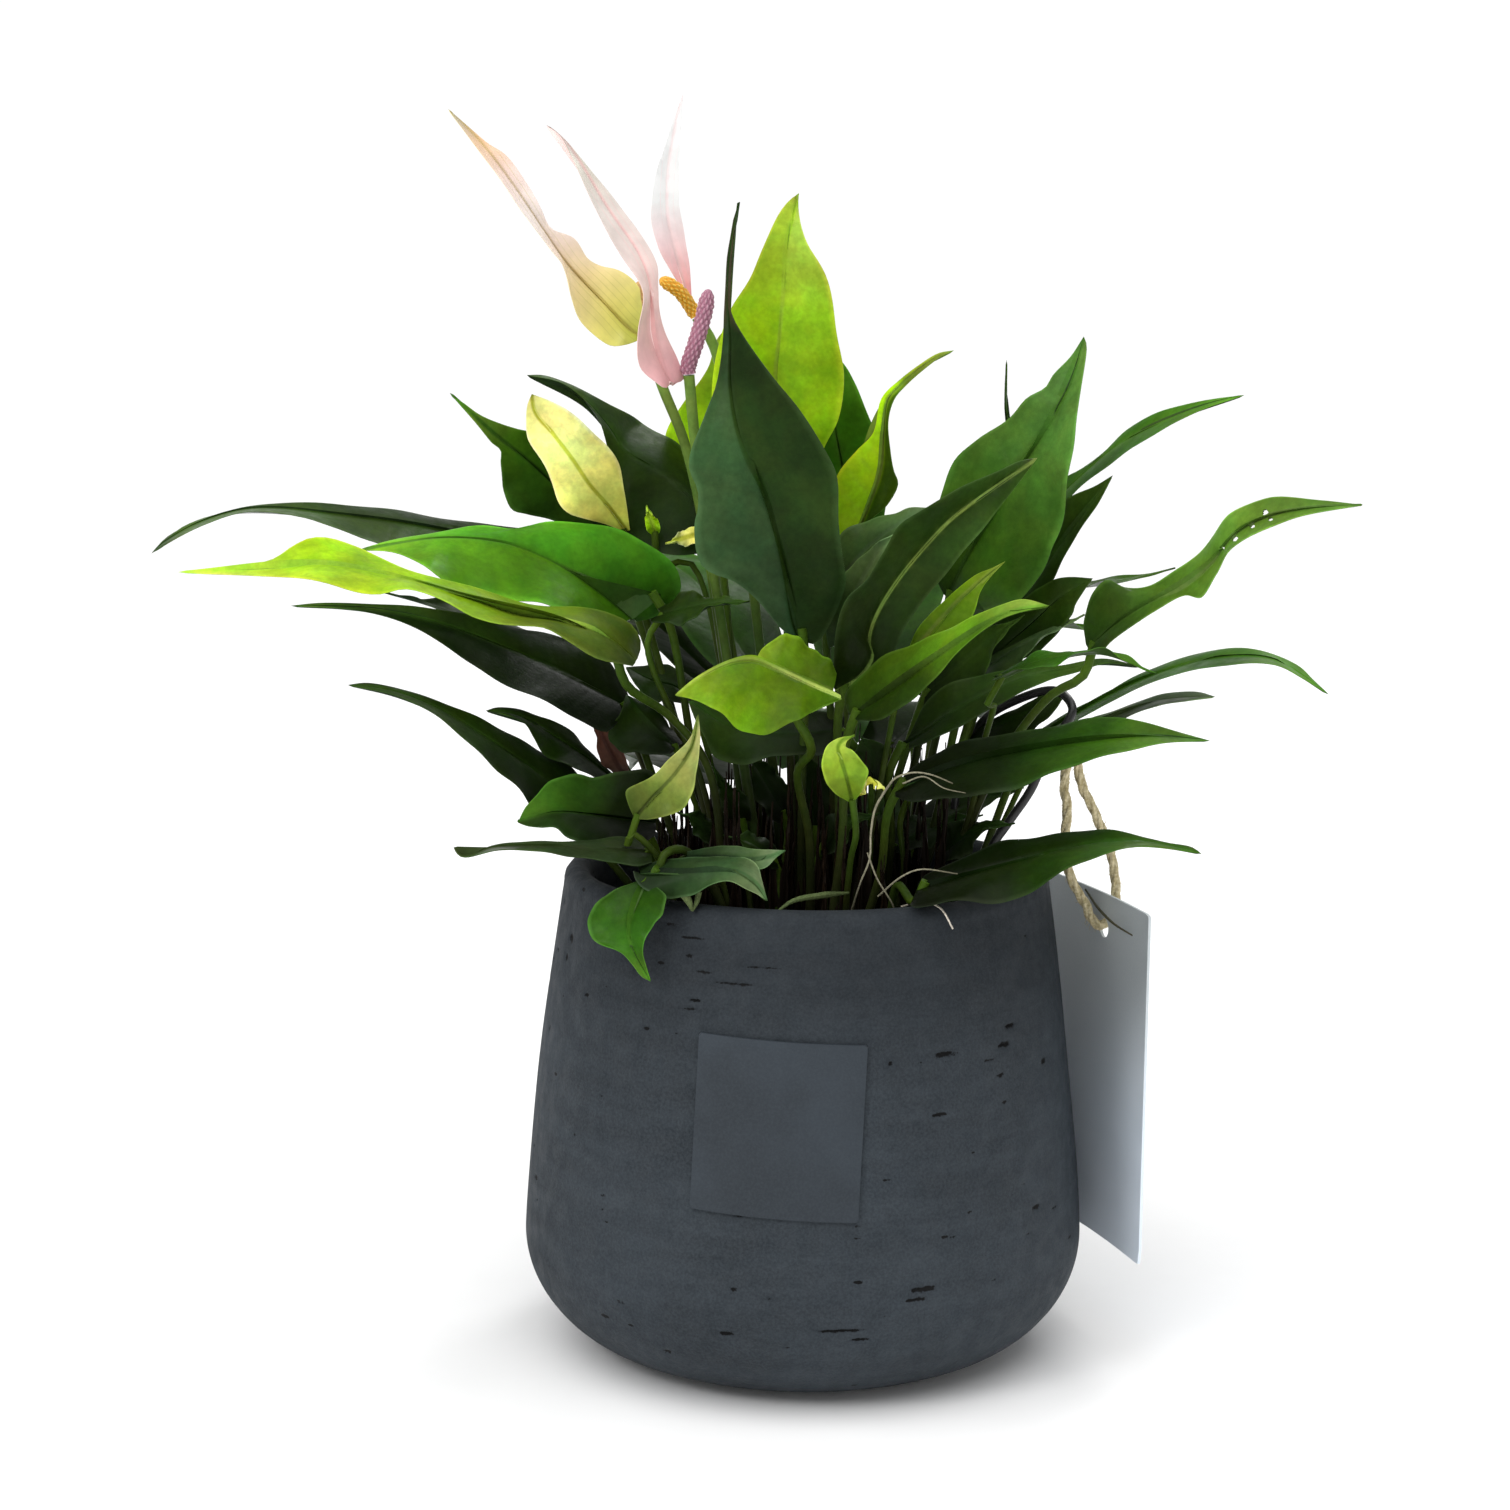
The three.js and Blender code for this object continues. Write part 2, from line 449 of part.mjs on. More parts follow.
// A slim spike that goes on from the head of its stalk, with a rounded end. Its rings of knobs are set
// off by half a step.
function spadixSolid({ path, radius }, stalk) {
  const head = stalk.getPoint(1);
  const onward = stalk.getTangent(1);
  const start = [gap, 2].map((reach) => head.clone().addScaledVector(onward, reach));
  const curve = new THREE.CatmullRomCurve3([...start, ...path.map(at)], false, 'centripetal');
  const [rings, sides] = [spadixRings, spadixSides];
  const positions = [];
  for (let i = 0; i <= rings; i++) {
    const t = i / rings;
    const middle = curve.getPointAt(t);
    const heading = curve.getTangentAt(t);
    const across = heading.clone().cross(new THREE.Vector3(0, 1, 0)).normalize();
    const through = heading.clone().cross(across);
    const round = Math.sqrt(Math.max(0.12, 1 - Math.max(0, (t - 0.72) / 0.3) ** 2));
    for (let j = 0; j < sides; j++) {
      const angle = (2 * Math.PI * (j + (i % 2) / 2)) / sides;
      const reach = radius * round * (1 + ((i + j) % 2 ? knobs[0] : knobs[1]));
      const point = middle.clone().addScaledVector(across, reach * Math.cos(angle))
        .addScaledVector(through, reach * Math.sin(angle));
      positions.push(point.x, point.y, point.z);
    }
  }
  const index = [];
  for (let i = 0; i < rings; i++) {
    for (let j = 0; j < sides; j++) {
      const next = (j + 1) % sides;
      const [a, b, c, d] = [i * sides + j, i * sides + next, (i + 1) * sides + next, (i + 1) * sides + j];
      if (i % 2) index.push(a, b, d, b, c, d);
      else index.push(a, c, d, a, b, c);
    }
  }
  const last = rings * sides;
  for (let j = 1; j < sides - 1; j++) {
    index.push(0, j + 1, j);
    index.push(last, last + j, last + j + 1);
  }
  return toSolid(meshOf(positions, index));
}

// Pots, soil and what hangs on them

// Outer radius of the pot at a height
function potRadius(z) {
  if (z < pot.bellyHeight) {
    const round = Math.sqrt(1 - (1 - z / pot.bellyHeight) ** 2);
    return THREE.MathUtils.lerp(pot.baseRadius, pot.bellyRadius, round);
  }
  const t = (z - pot.bellyHeight) / (pot.shoulderHeight - pot.bellyHeight);
  return THREE.MathUtils.lerp(pot.bellyRadius, pot.rimRadius, t ** 1.35);
}

function lathe(profile, slices) {
  const points = profile.map(([r, z]) => new THREE.Vector2(r, z));
  return new THREE.LatheGeometry(points, slices).rotateX(Math.PI / 2);
}

function potSolid() {
  const profile = [[0, 0], [pot.baseRadius, 0]];
  for (const z of [1.2, 4.5, 10, 18, pot.bellyHeight, 52, 74, 95, pot.shoulderHeight - 1]) {
    profile.push([potRadius(z), z]);
  }
  profile.push([pot.rimRadius - 1.4, pot.height - 0.8], [pot.rimRadius - pot.wall / 2, pot.height]);
  profile.push([pot.rimRadius - pot.wall + 1, pot.height - 1.2]);
  for (const z of [pot.shoulderHeight - 2, 74, pot.bellyHeight]) profile.push([potRadius(z) - pot.wall, z]);
  profile.push([potRadius(16) - pot.wall - 4, 16], [pot.baseRadius + 4, pot.floor], [0, pot.floor]);
  return toSolid(lathe(profile, pot.slices));
}

function growPotSolid() {
  const bottom = pot.floor + gap;
  const top = bottom + growPot.height;
  const outer = [[0, bottom], [growPot.baseRadius, bottom], [growPot.topRadius, top - 8],
    [growPot.topRadius + 1.5, top - 8], [growPot.topRadius + 1.7, top]];
  const inner = [[growPot.topRadius + 1.7 - growPot.wall, top], [growPot.topRadius - growPot.wall, top - 9],
    [growPot.baseRadius - growPot.wall, bottom + growPot.floor], [0, bottom + growPot.floor]];
  return toSolid(lathe([...outer, ...inner], growPot.slices));
}

// Potting mix, heaped a little in the middle with a lumpy top
function soilSolid(feet) {
  const bottom = pot.floor + 2 * gap + growPot.floor;
  const side = growPot.wall + gap;
  const slope = (z) => THREE.MathUtils.lerp(growPot.baseRadius, growPot.topRadius,
    (z - pot.floor) / (growPot.height - 8)) - side;
  const shape = [[0, bottom], [slope(bottom) - gap, bottom], [soil.radius, soil.top - 7],
    [soil.radius, soil.top - 1.5], [soil.radius - 12, soil.top],
    [soil.radius - 26, soil.top + soil.crown * 0.6], [0, soil.top + soil.crown]];
  const geometry = lathe(shape, soil.slices);
  const place = geometry.attributes.position;
  for (let i = 0; i < place.count; i++) {
    const [x, y, z] = [place.getX(i), place.getY(i), place.getZ(i)];
    if (z < soil.top - 1) continue;
    place.setZ(i, z + soil.lump * Math.sin(0.41 * x + 1.3) * Math.cos(0.37 * y - 0.6));
  }
  let solid = toSolid(geometry);
  for (const [foot, stemRadius] of feet) {
    const radius = (stemRadius + soil.clearance) / Math.cos(Math.PI / soil.holeSides);
    const length = 2 * soil.holeDepth;
    const hole = new THREE.CylinderGeometry(radius, radius, length, soil.holeSides).rotateX(Math.PI / 2);
    solid = solid.subtract(toSolid(hole.translate(foot.x, foot.y, soil.top)));
  }
  return solid;
}

// A thin clear label wrapped on the pot's front
function stickerSolid() {
  const rows = 4;
  const columns = 5;
  const turn = THREE.MathUtils.degToRad(sticker.turn);
  const positions = [];
  for (const out of [gap, gap + sticker.thickness]) {
    for (let i = 0; i <= rows; i++) {
      for (let j = 0; j <= columns; j++) {
        const u = (j / columns - 0.5) * sticker.width;
        const v = (i / rows - 0.5) * sticker.height;
        const x = sticker.middle[0] + u * Math.cos(turn) - v * Math.sin(turn);
        const z = sticker.middle[1] + u * Math.sin(turn) + v * Math.cos(turn);
        const radius = potRadius(z) + out + 0.05;
        positions.push(radius * Math.sin(x / radius), -radius * Math.cos(x / radius), z);
      }
    }
  }
  return toSolid(sheetGeometry(positions, rows + 1, columns + 1));
}

// The paper tag hangs upright beside the pot, a little curled, with a hole for its twine
function tagSolid() {
  const heading = THREE.MathUtils.degToRad(tag.heading);
  const columns = 5;
  const rows = 2;
  const positions = [];
  for (const side of [-tag.thickness / 2, tag.thickness / 2]) {
    for (let i = 0; i < rows; i++) {
      for (let j = 0; j < columns; j++) {
        const u = (j / (columns - 1)) * tag.width;
        const bow = 1.2 * Math.sin((Math.PI * u) / tag.width) + side;
        const x = tag.nearX + u * Math.cos(heading) + bow * Math.sin(heading);
        const y = tag.nearY + u * Math.sin(heading) - bow * Math.cos(heading);
        positions.push(x, y, tag.bottom + i * tag.height);
      }
    }
  }
  const sheet = toSolid(sheetGeometry(positions, rows, columns));
  const hole = new THREE.CylinderGeometry(tag.holeRadius, tag.holeRadius, 12, 10).rotateZ(Math.PI / 2);
  hole.rotateZ(heading - Math.PI / 2);
  hole.translate(tagHole.x, tagHole.y, tagHole.z);
  return sheet.subtract(toSolid(hole));
}

const tagHole = new THREE.Vector3(
  tag.nearX + (tag.width / 2) * Math.cos(THREE.MathUtils.degToRad(tag.heading)) + 1.2,
  tag.nearY + (tag.width / 2) * Math.sin(THREE.MathUtils.degToRad(tag.heading)),
  tag.bottom + tag.height - tag.holeDrop,
);

// Black coated wire hoop: near foot, up, over and down behind, both feet in the soil
const hoop = {
  radius: 1.15,
  near: new THREE.Vector3(41, -10, 0), far: new THREE.Vector3(37, 19, 0),
  path: [[46, 125, -10], [50.5, 132.4, -10], [55.8, 140.6, -9], [60, 151, -7], [65.6, 160.5, -4],
    [61.5, 165.2, 2], [52, 163, 9], [43, 157, 16], [38, 146, 19], [36.5, 128, 19]],
};

// Jute twine: from the hoop's top down in front of the tag, through its hole, and back up behind it
const twine = {
  radius: 1.25,
  path: [[65.9, 157, -3], [64.9, 149, -4], [64, 141.5, -4], [64.9, 136, -3], [64.7, 130, -2], [65.7, 120, -1],
    [68, 115, 0], [70.2, 111.5, 2.5], [71.9, 106.8, 4.2], [73.8, 105.2, 5], [75.8, 106.2, 6], [77.4, 110, 7.4],
    [77.6, 115.6, 8.5], [76, 125, 8], [73.5, 131, 6], [71.3, 136, 4], [68.5, 141.5, 1], [66.9, 148, -0.6]],
};

function hoopSolid() {
  const ends = [soil.top + 1 - soil.holeDepth, soil.top + soil.crown + 1];
  const points = [...ends.map((z) => hoop.near.clone().setZ(z)), ...hoop.path.map(at),
    ...ends.reverse().map((z) => hoop.far.clone().setZ(z))];
  const curve = new THREE.CatmullRomCurve3(points, false, 'centripetal');
  return toSolid(tube(curve, hoop.radius, 6, 30));
}

function twineSolid() {
  const curve = new THREE.CatmullRomCurve3(twine.path.map(at), false, 'centripetal');
  return toSolid(tube(curve, twine.radius, 8, 26));
}

// The whole

const plant = new THREE.Group();

function add(name, solid, color, roughness, metalness = 0) {
  const material = new THREE.MeshStandardMaterial({ color, roughness, metalness });
  const mesh = new THREE.Mesh(toGeometry(solid), material);
  mesh.name = name;
  plant.add(mesh);
}

const feet = [];
for (const [name, leaves] of Object.entries(shoots)) {
  const foot = new THREE.Vector3(...leaves[0].foot, soil.top);
  const solid = leaves.map((leaf) => leafSolid(leaf, foot)).reduce((whole, next) => whole.add(next));
  const radius = leaves.every((leaf) => leaf.half < thinHalf) ? stalkRadius.thin : stalkRadius.leaf;
  feet.push([foot, radius]);
  add(name, solid, leaves[0].tone, 0.45);
}

blooms.forEach((bloom, i) => {
  const foot = new THREE.Vector3(bloom.foot[0], bloom.foot[1], soil.top);
  const path = [1 - soil.holeDepth, soil.crown + 2].map((z) => foot.clone().add(new THREE.Vector3(0, 0, z)));
  path.push(...bloom.stalk.map(at));
  const stalk = new THREE.CatmullRomCurve3(path, false, 'centripetal');
  const rib = new THREE.CatmullRomCurve3(bloom.spathe.rib.map(at), false, 'catmullrom', 0.5);
  feet.push([foot, stalkRadius.bloom]);
  add(`flower_stalk_${i + 1}`, toSolid(tube(stalk, stalkRadius.bloom, 6, 10)), green.mid, 0.5);
  add(`spathe_${i + 1}`, toSolid(bladeGeometry(bloom.spathe, rib)), bloom.tone, 0.4);
  add(`spadix_${i + 1}`, spadixSolid(bloom.spadix, stalk), bloom.spadix.tone, 0.6);
});

for (const foot of [hoop.near, hoop.far]) feet.push([foot, hoop.radius]);

add('pot', potSolid(), 0x3b3f44, 0.9);
add('grow_pot', growPotSolid(), 0x1d1e20, 0.5);
add('potting_soil', soilSolid(feet), 0x2a1f18, 1);
add('pot_sticker', stickerSolid(), 0x4a5057, 0.3);
add('wire_hoop', hoopSolid(), 0x111214, 0.4, 0.2);
add('tag_twine', twineSolid(), 0xb79f78, 0.95);
add('swing_tag', tagSolid(), 0x9aa0a6, 0.6);

export default plant;
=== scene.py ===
# Potted lily anthurium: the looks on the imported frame, in metres, +Z up, its front towards -Y
import math
import bpy
import numpy as np
from mathutils import Matrix


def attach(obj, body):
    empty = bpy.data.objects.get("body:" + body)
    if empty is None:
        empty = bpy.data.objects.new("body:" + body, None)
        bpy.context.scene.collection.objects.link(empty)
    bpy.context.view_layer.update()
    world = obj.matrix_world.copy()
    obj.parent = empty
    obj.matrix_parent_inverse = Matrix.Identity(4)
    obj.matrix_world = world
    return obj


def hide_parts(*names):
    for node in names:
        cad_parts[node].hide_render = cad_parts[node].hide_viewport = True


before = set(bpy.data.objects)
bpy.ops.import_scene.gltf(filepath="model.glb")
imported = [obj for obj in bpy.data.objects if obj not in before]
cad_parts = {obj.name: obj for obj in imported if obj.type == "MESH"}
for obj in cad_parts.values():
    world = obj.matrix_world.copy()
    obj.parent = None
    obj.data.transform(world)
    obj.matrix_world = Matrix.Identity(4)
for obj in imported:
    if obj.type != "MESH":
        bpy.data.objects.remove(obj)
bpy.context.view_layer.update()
scene = bpy.context.scene
mm = 0.001
eye = np.array([0.0, -800.0, 275.0])  # mm, where the camera stands and the plant was measured from
chance = np.random.default_rng(7)


# Camera

view = dict(
    pitch=9.0,  # degrees down
    yaw=0.94,  # degrees to the left
    roll=0.6,  # degrees that the picture leans
    lens=78.0,
    sensor=36.0,
)


def makeCamera():
    camera = bpy.data.cameras.new("camera")
    camera.lens = view["lens"]
    camera.sensor_width = view["sensor"]
    camera.clip_end = 20
    holder = bpy.data.objects.new("camera", camera)
    scene.collection.objects.link(holder)
    pitch, yaw, roll = (math.radians(view[name]) for name in ("pitch", "yaw", "roll"))
    ahead = np.array([-math.sin(yaw) * math.cos(pitch), math.cos(yaw) * math.cos(pitch), -math.sin(pitch)])
    right = np.array([math.cos(yaw), math.sin(yaw), 0])
    up = np.cross(right, ahead)
    turn = np.eye(4)
    turn[:3, 0] = right * math.cos(roll) + up * math.sin(roll)
    turn[:3, 1] = up * math.cos(roll) - right * math.sin(roll)
    turn[:3, 2] = -ahead
    turn[:3, 3] = eye * mm
    holder.matrix_world = Matrix(turn.tolist())
    scene.camera = holder


# Lines, tubes and sheets

narrow = 0.992  # the true width of what was measured as 1 across


def seen(points):
    # Points are (across, up, back): across and up in the upright plane through the pot's middle, as the
    # eye sees them, then back along that line of sight. Place = eye + (plane point - eye) * (1 + back/800)
    p = np.asarray(points, float)
    reach = 1 + p[..., 2] / -eye[1]
    return np.stack([p[..., 0] * narrow * reach, p[..., 2], eye[2] + (p[..., 1] - eye[2]) * reach], -1)


def measured(places):
    # The way back from seen: places to (across, up, back)
    reach = 1 + places[..., 1] / -eye[1]
    up = eye[2] + (places[..., 2] - eye[2]) / reach
    return np.stack([places[..., 0] / reach / narrow, up, places[..., 1]], -1)


def smoothLine(points, shares, even=False):
    # Catmull-Rom line: each span is a cubic whose end slopes come from its neighbours, weighed by the
    # root of their distances unless even. Returns places and directions at shares of the length.
    p = np.asarray(points, float)
    p = np.vstack([2 * p[0] - p[1], p, 2 * p[-1] - p[-2]])
    spans = len(p) - 3
    t = np.linspace(0, spans, 60 * spans + 1)
    i = np.minimum(t.astype(int), spans - 1)
    w = (t - i)[:, None]
    p0, p1, p2, p3 = p[i], p[i + 1], p[i + 2], p[i + 3]
    if even:
        slope1, slope2 = (p2 - p0) / 2, (p3 - p1) / 2
    else:
        d0, d1, d2 = (np.sqrt(np.linalg.norm(b - a, axis=1, keepdims=True)) + 1e-9
                      for a, b in ((p0, p1), (p1, p2), (p2, p3)))
        slope1 = ((p1 - p0) / d0 - (p2 - p0) / (d0 + d1) + (p2 - p1) / d1) * d1
        slope2 = ((p2 - p1) / d1 - (p3 - p1) / (d1 + d2) + (p3 - p2) / d2) * d1
    dense = (p1 + slope1 * w + (3 * (p2 - p1) - 2 * slope1 - slope2) * w**2
             + (2 * (p1 - p2) + slope1 + slope2) * w**3)
    run = np.concatenate([[0], np.cumsum(np.linalg.norm(np.diff(dense, axis=0), axis=1))])
    heading = unit(np.gradient(dense, axis=0))
    at = np.asarray(shares) * run[-1]
    places = np.stack([np.interp(at, run, dense[:, k]) for k in range(3)], 1)
    headings = unit(np.stack([np.interp(at, run, heading[:, k]) for k in range(3)], 1))
    return places, headings, run[-1]


def unit(v):
    return v / np.maximum(np.linalg.norm(v, axis=-1, keepdims=True), 1e-12)


def steps(values, t):
    # Values given at even steps from start to end, read at t
    values = np.atleast_1d(np.asarray(values, float))
    if values.ndim == 1:
        return np.interp(t, np.linspace(0, 1, len(values)), values) if len(values) > 1 else values[0] + 0 * t
    return np.stack([steps(values[:, k], t) for k in range(values.shape[1])], -1)


def gridFaces(rows, columns, closed=False):
    # Quads of a grid of points, row by row; closed joins the last column to the first
    i = np.arange(rows - 1)[:, None]
    j = np.arange(columns if closed else columns - 1)[None, :]
    k = (j + 1) % columns
    quads = np.stack([i * columns + j, i * columns + k, (i + 1) * columns + k, (i + 1) * columns + j], -1)
    return quads.reshape(-1, 4)


def sheetFaces(rows, columns, kept=None):
    # A closed thin sheet: the front grid, the back grid turned over, and a wall along each edge of a kept
    # square that has no kept square beyond it. kept leaves squares out, for holes
    if kept is None:
        kept = np.ones((rows - 1, columns - 1), bool)
    count = rows * columns
    front = gridFaces(rows, columns).reshape(rows - 1, columns - 1, 4)
    beyond = np.pad(kept, 1)
    walls = []
    for k, other in enumerate((beyond[:-2, 1:-1], beyond[1:-1, 2:], beyond[2:, 1:-1], beyond[1:-1, :-2])):
        p, q = front[..., k][kept & ~other], front[..., (k + 1) % 4][kept & ~other]
        walls.append(np.stack([q, p, p + count, q + count], -1))
    return np.concatenate([front[kept], front[kept][:, ::-1] + count, *walls])


def sweptRings(line, heading, radius, sides, turn=None):
    # Rings of points about a line. Each ring's first direction is the last one's, turned the least way
    # that keeps it square to the line. Place = line + radius * (cos a * first + sin a * second)
    first = np.zeros_like(line)
    side = np.cross(heading[0], [0.3, 1, 0.2])
    for i in range(len(line)):
        side = unit(side - (side @ heading[i]) * heading[i])
        first[i] = side
    second = np.cross(heading, first)
    a = np.linspace(0, 2 * np.pi, sides, endpoint=False)[None, :]
    if turn is not None:
        a = a + turn[:, None]
    r = np.broadcast_to(radius, (len(line), sides))[..., None]
    around = np.cos(a)[..., None] * first[:, None] + np.sin(a)[..., None] * second[:, None]
    return line[:, None] + r * around


def tube(points, radius, sides=10, rings=40):
    # A round tube along a smooth line, closed by a flat face at each end. Radius is one value or steps
    t = np.linspace(0, 1, rings)
    line, heading, _ = smoothLine(points, t)
    r = steps(radius, t)[:, None]
    grid = sweptRings(line, heading, r, sides)
    return grid.reshape(-1, 3), [gridFaces(rings, sides, closed=True), capFaces(rings, sides)], t


def capFaces(rings, sides):
    # The two flat faces that close the first ring and the last
    low = np.arange(sides)[::-1]
    return np.stack([low, low[::-1] + (rings - 1) * sides])


def joined(parts):
    # Several (points, faces) in one: the points one after another, the faces renumbered
    points, faces, start = [], [], 0
    for somePoints, someFaces in parts:
        points.append(somePoints)
        faces += [f + start for f in someFaces]
        start += len(somePoints)
    return np.concatenate(points), faces


def newPiece(name, points, faces, material, nodes=(), colours=None, places=None, smooth=40):
    # points in mm. faces: arrays of corners, one row a face. Edges sharper than smooth degrees stay sharp
    mesh = bpy.data.meshes.new(name)
    points = np.asarray(points, np.float32) * mm
    mesh.vertices.add(len(points))
    mesh.vertices.foreach_set("co", points.ravel())
    corners = np.concatenate([f.ravel() for f in faces]).astype(np.int32)
    sizes = np.concatenate([np.full(len(f), f.shape[1]) for f in faces])
    mesh.loops.add(len(corners))
    mesh.loops.foreach_set("vertex_index", corners)
    mesh.polygons.add(len(sizes))
    mesh.polygons.foreach_set("loop_start", (np.cumsum(sizes) - sizes).astype(np.int32))
    mesh.update(calc_edges=True)
    mesh.validate()
    mesh.shade_smooth()
    mesh.set_sharp_from_angle(angle=math.radians(smooth))
    for label, values in (colours or {}).items():
        layer = mesh.attributes.new(label, "FLOAT_COLOR", "POINT")
        solid = np.column_stack([values, np.ones(len(values))])
        layer.data.foreach_set("color", solid.astype(np.float32).ravel())
    if places is not None:
        layer = mesh.attributes.new("place", "FLOAT_VECTOR", "POINT")
        layer.data.foreach_set("vector", np.asarray(places, np.float32).ravel())
    mesh.materials.append(material)
    piece = bpy.data.objects.new(name, mesh)
    scene.collection.objects.link(piece)
    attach(piece, "root")
    if nodes:
        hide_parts(*nodes)
    return piece


def paint(code):
    # A colour as it looks, such as "3c6e22", in the linear values that Blender takes
    values = np.array([int(code[k:k + 2], 16) for k in (0, 2, 4)]) / 255
    return np.where(values <= 0.04045, values / 12.92, ((values + 0.055) / 1.055) ** 2.4)


def painted(codes, t):
    # Colours at even steps from start to end, read at t
    return steps(np.stack([paint(code) for code in codes]), t)


# Finishes


def newMaterial(name, **sockets):
    material = bpy.data.materials.new(name)
    material.use_nodes = True
    surface = material.node_tree.nodes["Principled BSDF"]
    for socket, value in sockets.items():
        surface.inputs[socket.replace("_", " ")].default_value = value
    return material, material.node_tree, surface


def node(tree, kind, links=(), **settings):
    # A node with its settings; links gives input -> a value or another node's output
    made = tree.nodes.new("ShaderNode" + kind)
    for key, value in settings.items():
        setattr(made, key, value)
    for key, value in dict(links).items():
        if isinstance(value, bpy.types.NodeSocket):
            tree.links.new(value, made.inputs[key])
        else:
            made.inputs[key].default_value = value
    return made


def attribute(tree, name, output="Color"):
    return node(tree, "Attribute", attribute_name=name).outputs[output]


def maths(tree, operation, a, b=0.0):
    return node(tree, "Math", {0: a, 1: b}, operation=operation).outputs[0]


def times(tree, a, b):
    return maths(tree, "MULTIPLY", a, b)


def ramp(tree, value, low, high, start=0.0, end=1.0):
    # value from low to high becomes start to end, with soft ends
    return node(tree, "MapRange", {"Value": value, "From Min": low, "From Max": high, "To Min": start,
                                   "To Max": end}, interpolation_type="SMOOTHSTEP").outputs[0]


def blend(tree, share, a, b, kind="MIX"):
    mixer = node(tree, "Mix", data_type="RGBA", blend_type=kind)
    for index, value in ((0, share), (6, a), (7, b)):
        if isinstance(value, bpy.types.NodeSocket):
            tree.links.new(value, mixer.inputs[index])
        elif index == 0:
            mixer.inputs[index].default_value = value
        else:
            mixer.inputs[index].default_value = (*value, 1)
    return mixer.outputs[2]


def noise(tree, scale, detail=3.0, rough=0.55, stretch=None):
    # Noise on the object's own metres; scale is its count of lumps to a metre
    place = node(tree, "TexCoord").outputs["Object"]
    if stretch:
        place = node(tree, "Mapping", {"Vector": place, "Scale": stretch}).outputs[0]
    settings = {"Vector": place, "Scale": scale, "Detail": detail, "Roughness": rough}
    return node(tree, "TexNoise", settings).outputs[0]


def mottle(tree, scale, detail, start=0.0, end=1.0, rough=0.55):
    # Noise drawn out from the range it keeps to, 0.3 to 0.7, to the span from start to end
    return ramp(tree, noise(tree, scale, detail, rough), 0.3, 0.7, start, end)


def shaded(tree, colour, shade):
    # The colour times a share that is the same for red, green and blue
    grey = node(tree, "CombineColor", {0: shade, 1: shade, 2: shade}).outputs[0]
    return blend(tree, 1.0, colour, grey, "MULTIPLY")


def coat(tree, surface, colour, roughness):
    tree.links.new(colour, surface.inputs["Base Color"])
    tree.links.new(roughness, surface.inputs["Roughness"])


def raised(tree, surface, height, strength, distance):
    bump = node(tree, "Bump", {"Height": height, "Strength": strength, "Distance": distance})
    tree.links.new(bump.outputs[0], surface.inputs["Normal"])


leafFinish = dict(
    veinStep=5.2,  # mm between side veins along the rib
    veinSlant=0.62,  # how far a side vein climbs for each mm outwards
    veinWidth=1.5,  # mm
    veinTone=0.1,  # share of the veins' colour in the side veins
    gloss=0.34,
)


def makeLeafFinish():
    # tone and veinTone are painted on the points. place holds mm across the rib, mm along it, and the
    # share of the way to the edge, from which the side veins are drawn
    material, tree, surface = newMaterial("leafSkin", Specular_IOR_Level=0.06)
    where = node(tree, "SeparateXYZ", {0: attribute(tree, "place", "Vector")}).outputs
    across = maths(tree, "ABSOLUTE", where[0])
    climb = maths(tree, "SUBTRACT", where[1], times(tree, across, leafFinish["veinSlant"]))
    wobble = times(tree, noise(tree, 160, 2), 1.3)
    phase = maths(tree, "DIVIDE", maths(tree, "ADD", climb, wobble), leafFinish["veinStep"])
    offset = maths(tree, "ABSOLUTE", maths(tree, "SUBTRACT", maths(tree, "FRACT", phase), 0.5))
    side = ramp(tree, offset, 0.5 - leafFinish["veinWidth"] / leafFinish["veinStep"], 0.5)
    side = times(tree, side, ramp(tree, where[2], 0.72, 0.98, 1, 0))
    rib = ramp(tree, across, 0.35, 1.0, 1, 0)
    veins = maths(tree, "MAXIMUM", times(tree, side, leafFinish["veinTone"]), rib)
    base = blend(tree, veins, attribute(tree, "tone"), attribute(tree, "veinTone"))
    # Broad lighter and darker patches: partly tone that differs from place to place, partly painted sheen for
    # soft highlights
    cloudy = mottle(tree, 60, 4, 0.72, 1.32, 0.6)
    fine = mottle(tree, 700, 4, 0.9, 1.1, 0.65)
    shade = times(tree, cloudy, fine)
    warm = ramp(tree, noise(tree, 110, 3), 0.35, 0.65, 0.92, 1.12)
    red = times(tree, shade, warm)
    tint = node(tree, "CombineColor", {0: red, 1: shade, 2: shade}).outputs[0]
    low, high = leafFinish["gloss"] - 0.06, leafFinish["gloss"] + 0.12
    gloss = ramp(tree, noise(tree, 260, 3), 0.25, 0.75, low, high)
    coat(tree, surface, blend(tree, 1.0, base, tint, "MULTIPLY"), gloss)
    grain = times(tree, noise(tree, 1100, 3), 0.5)
    height = maths(tree, "ADD", times(tree, side, -0.25), grain)
    raised(tree, surface, height, 0.35, 0.0003)
    return material


# Leaves

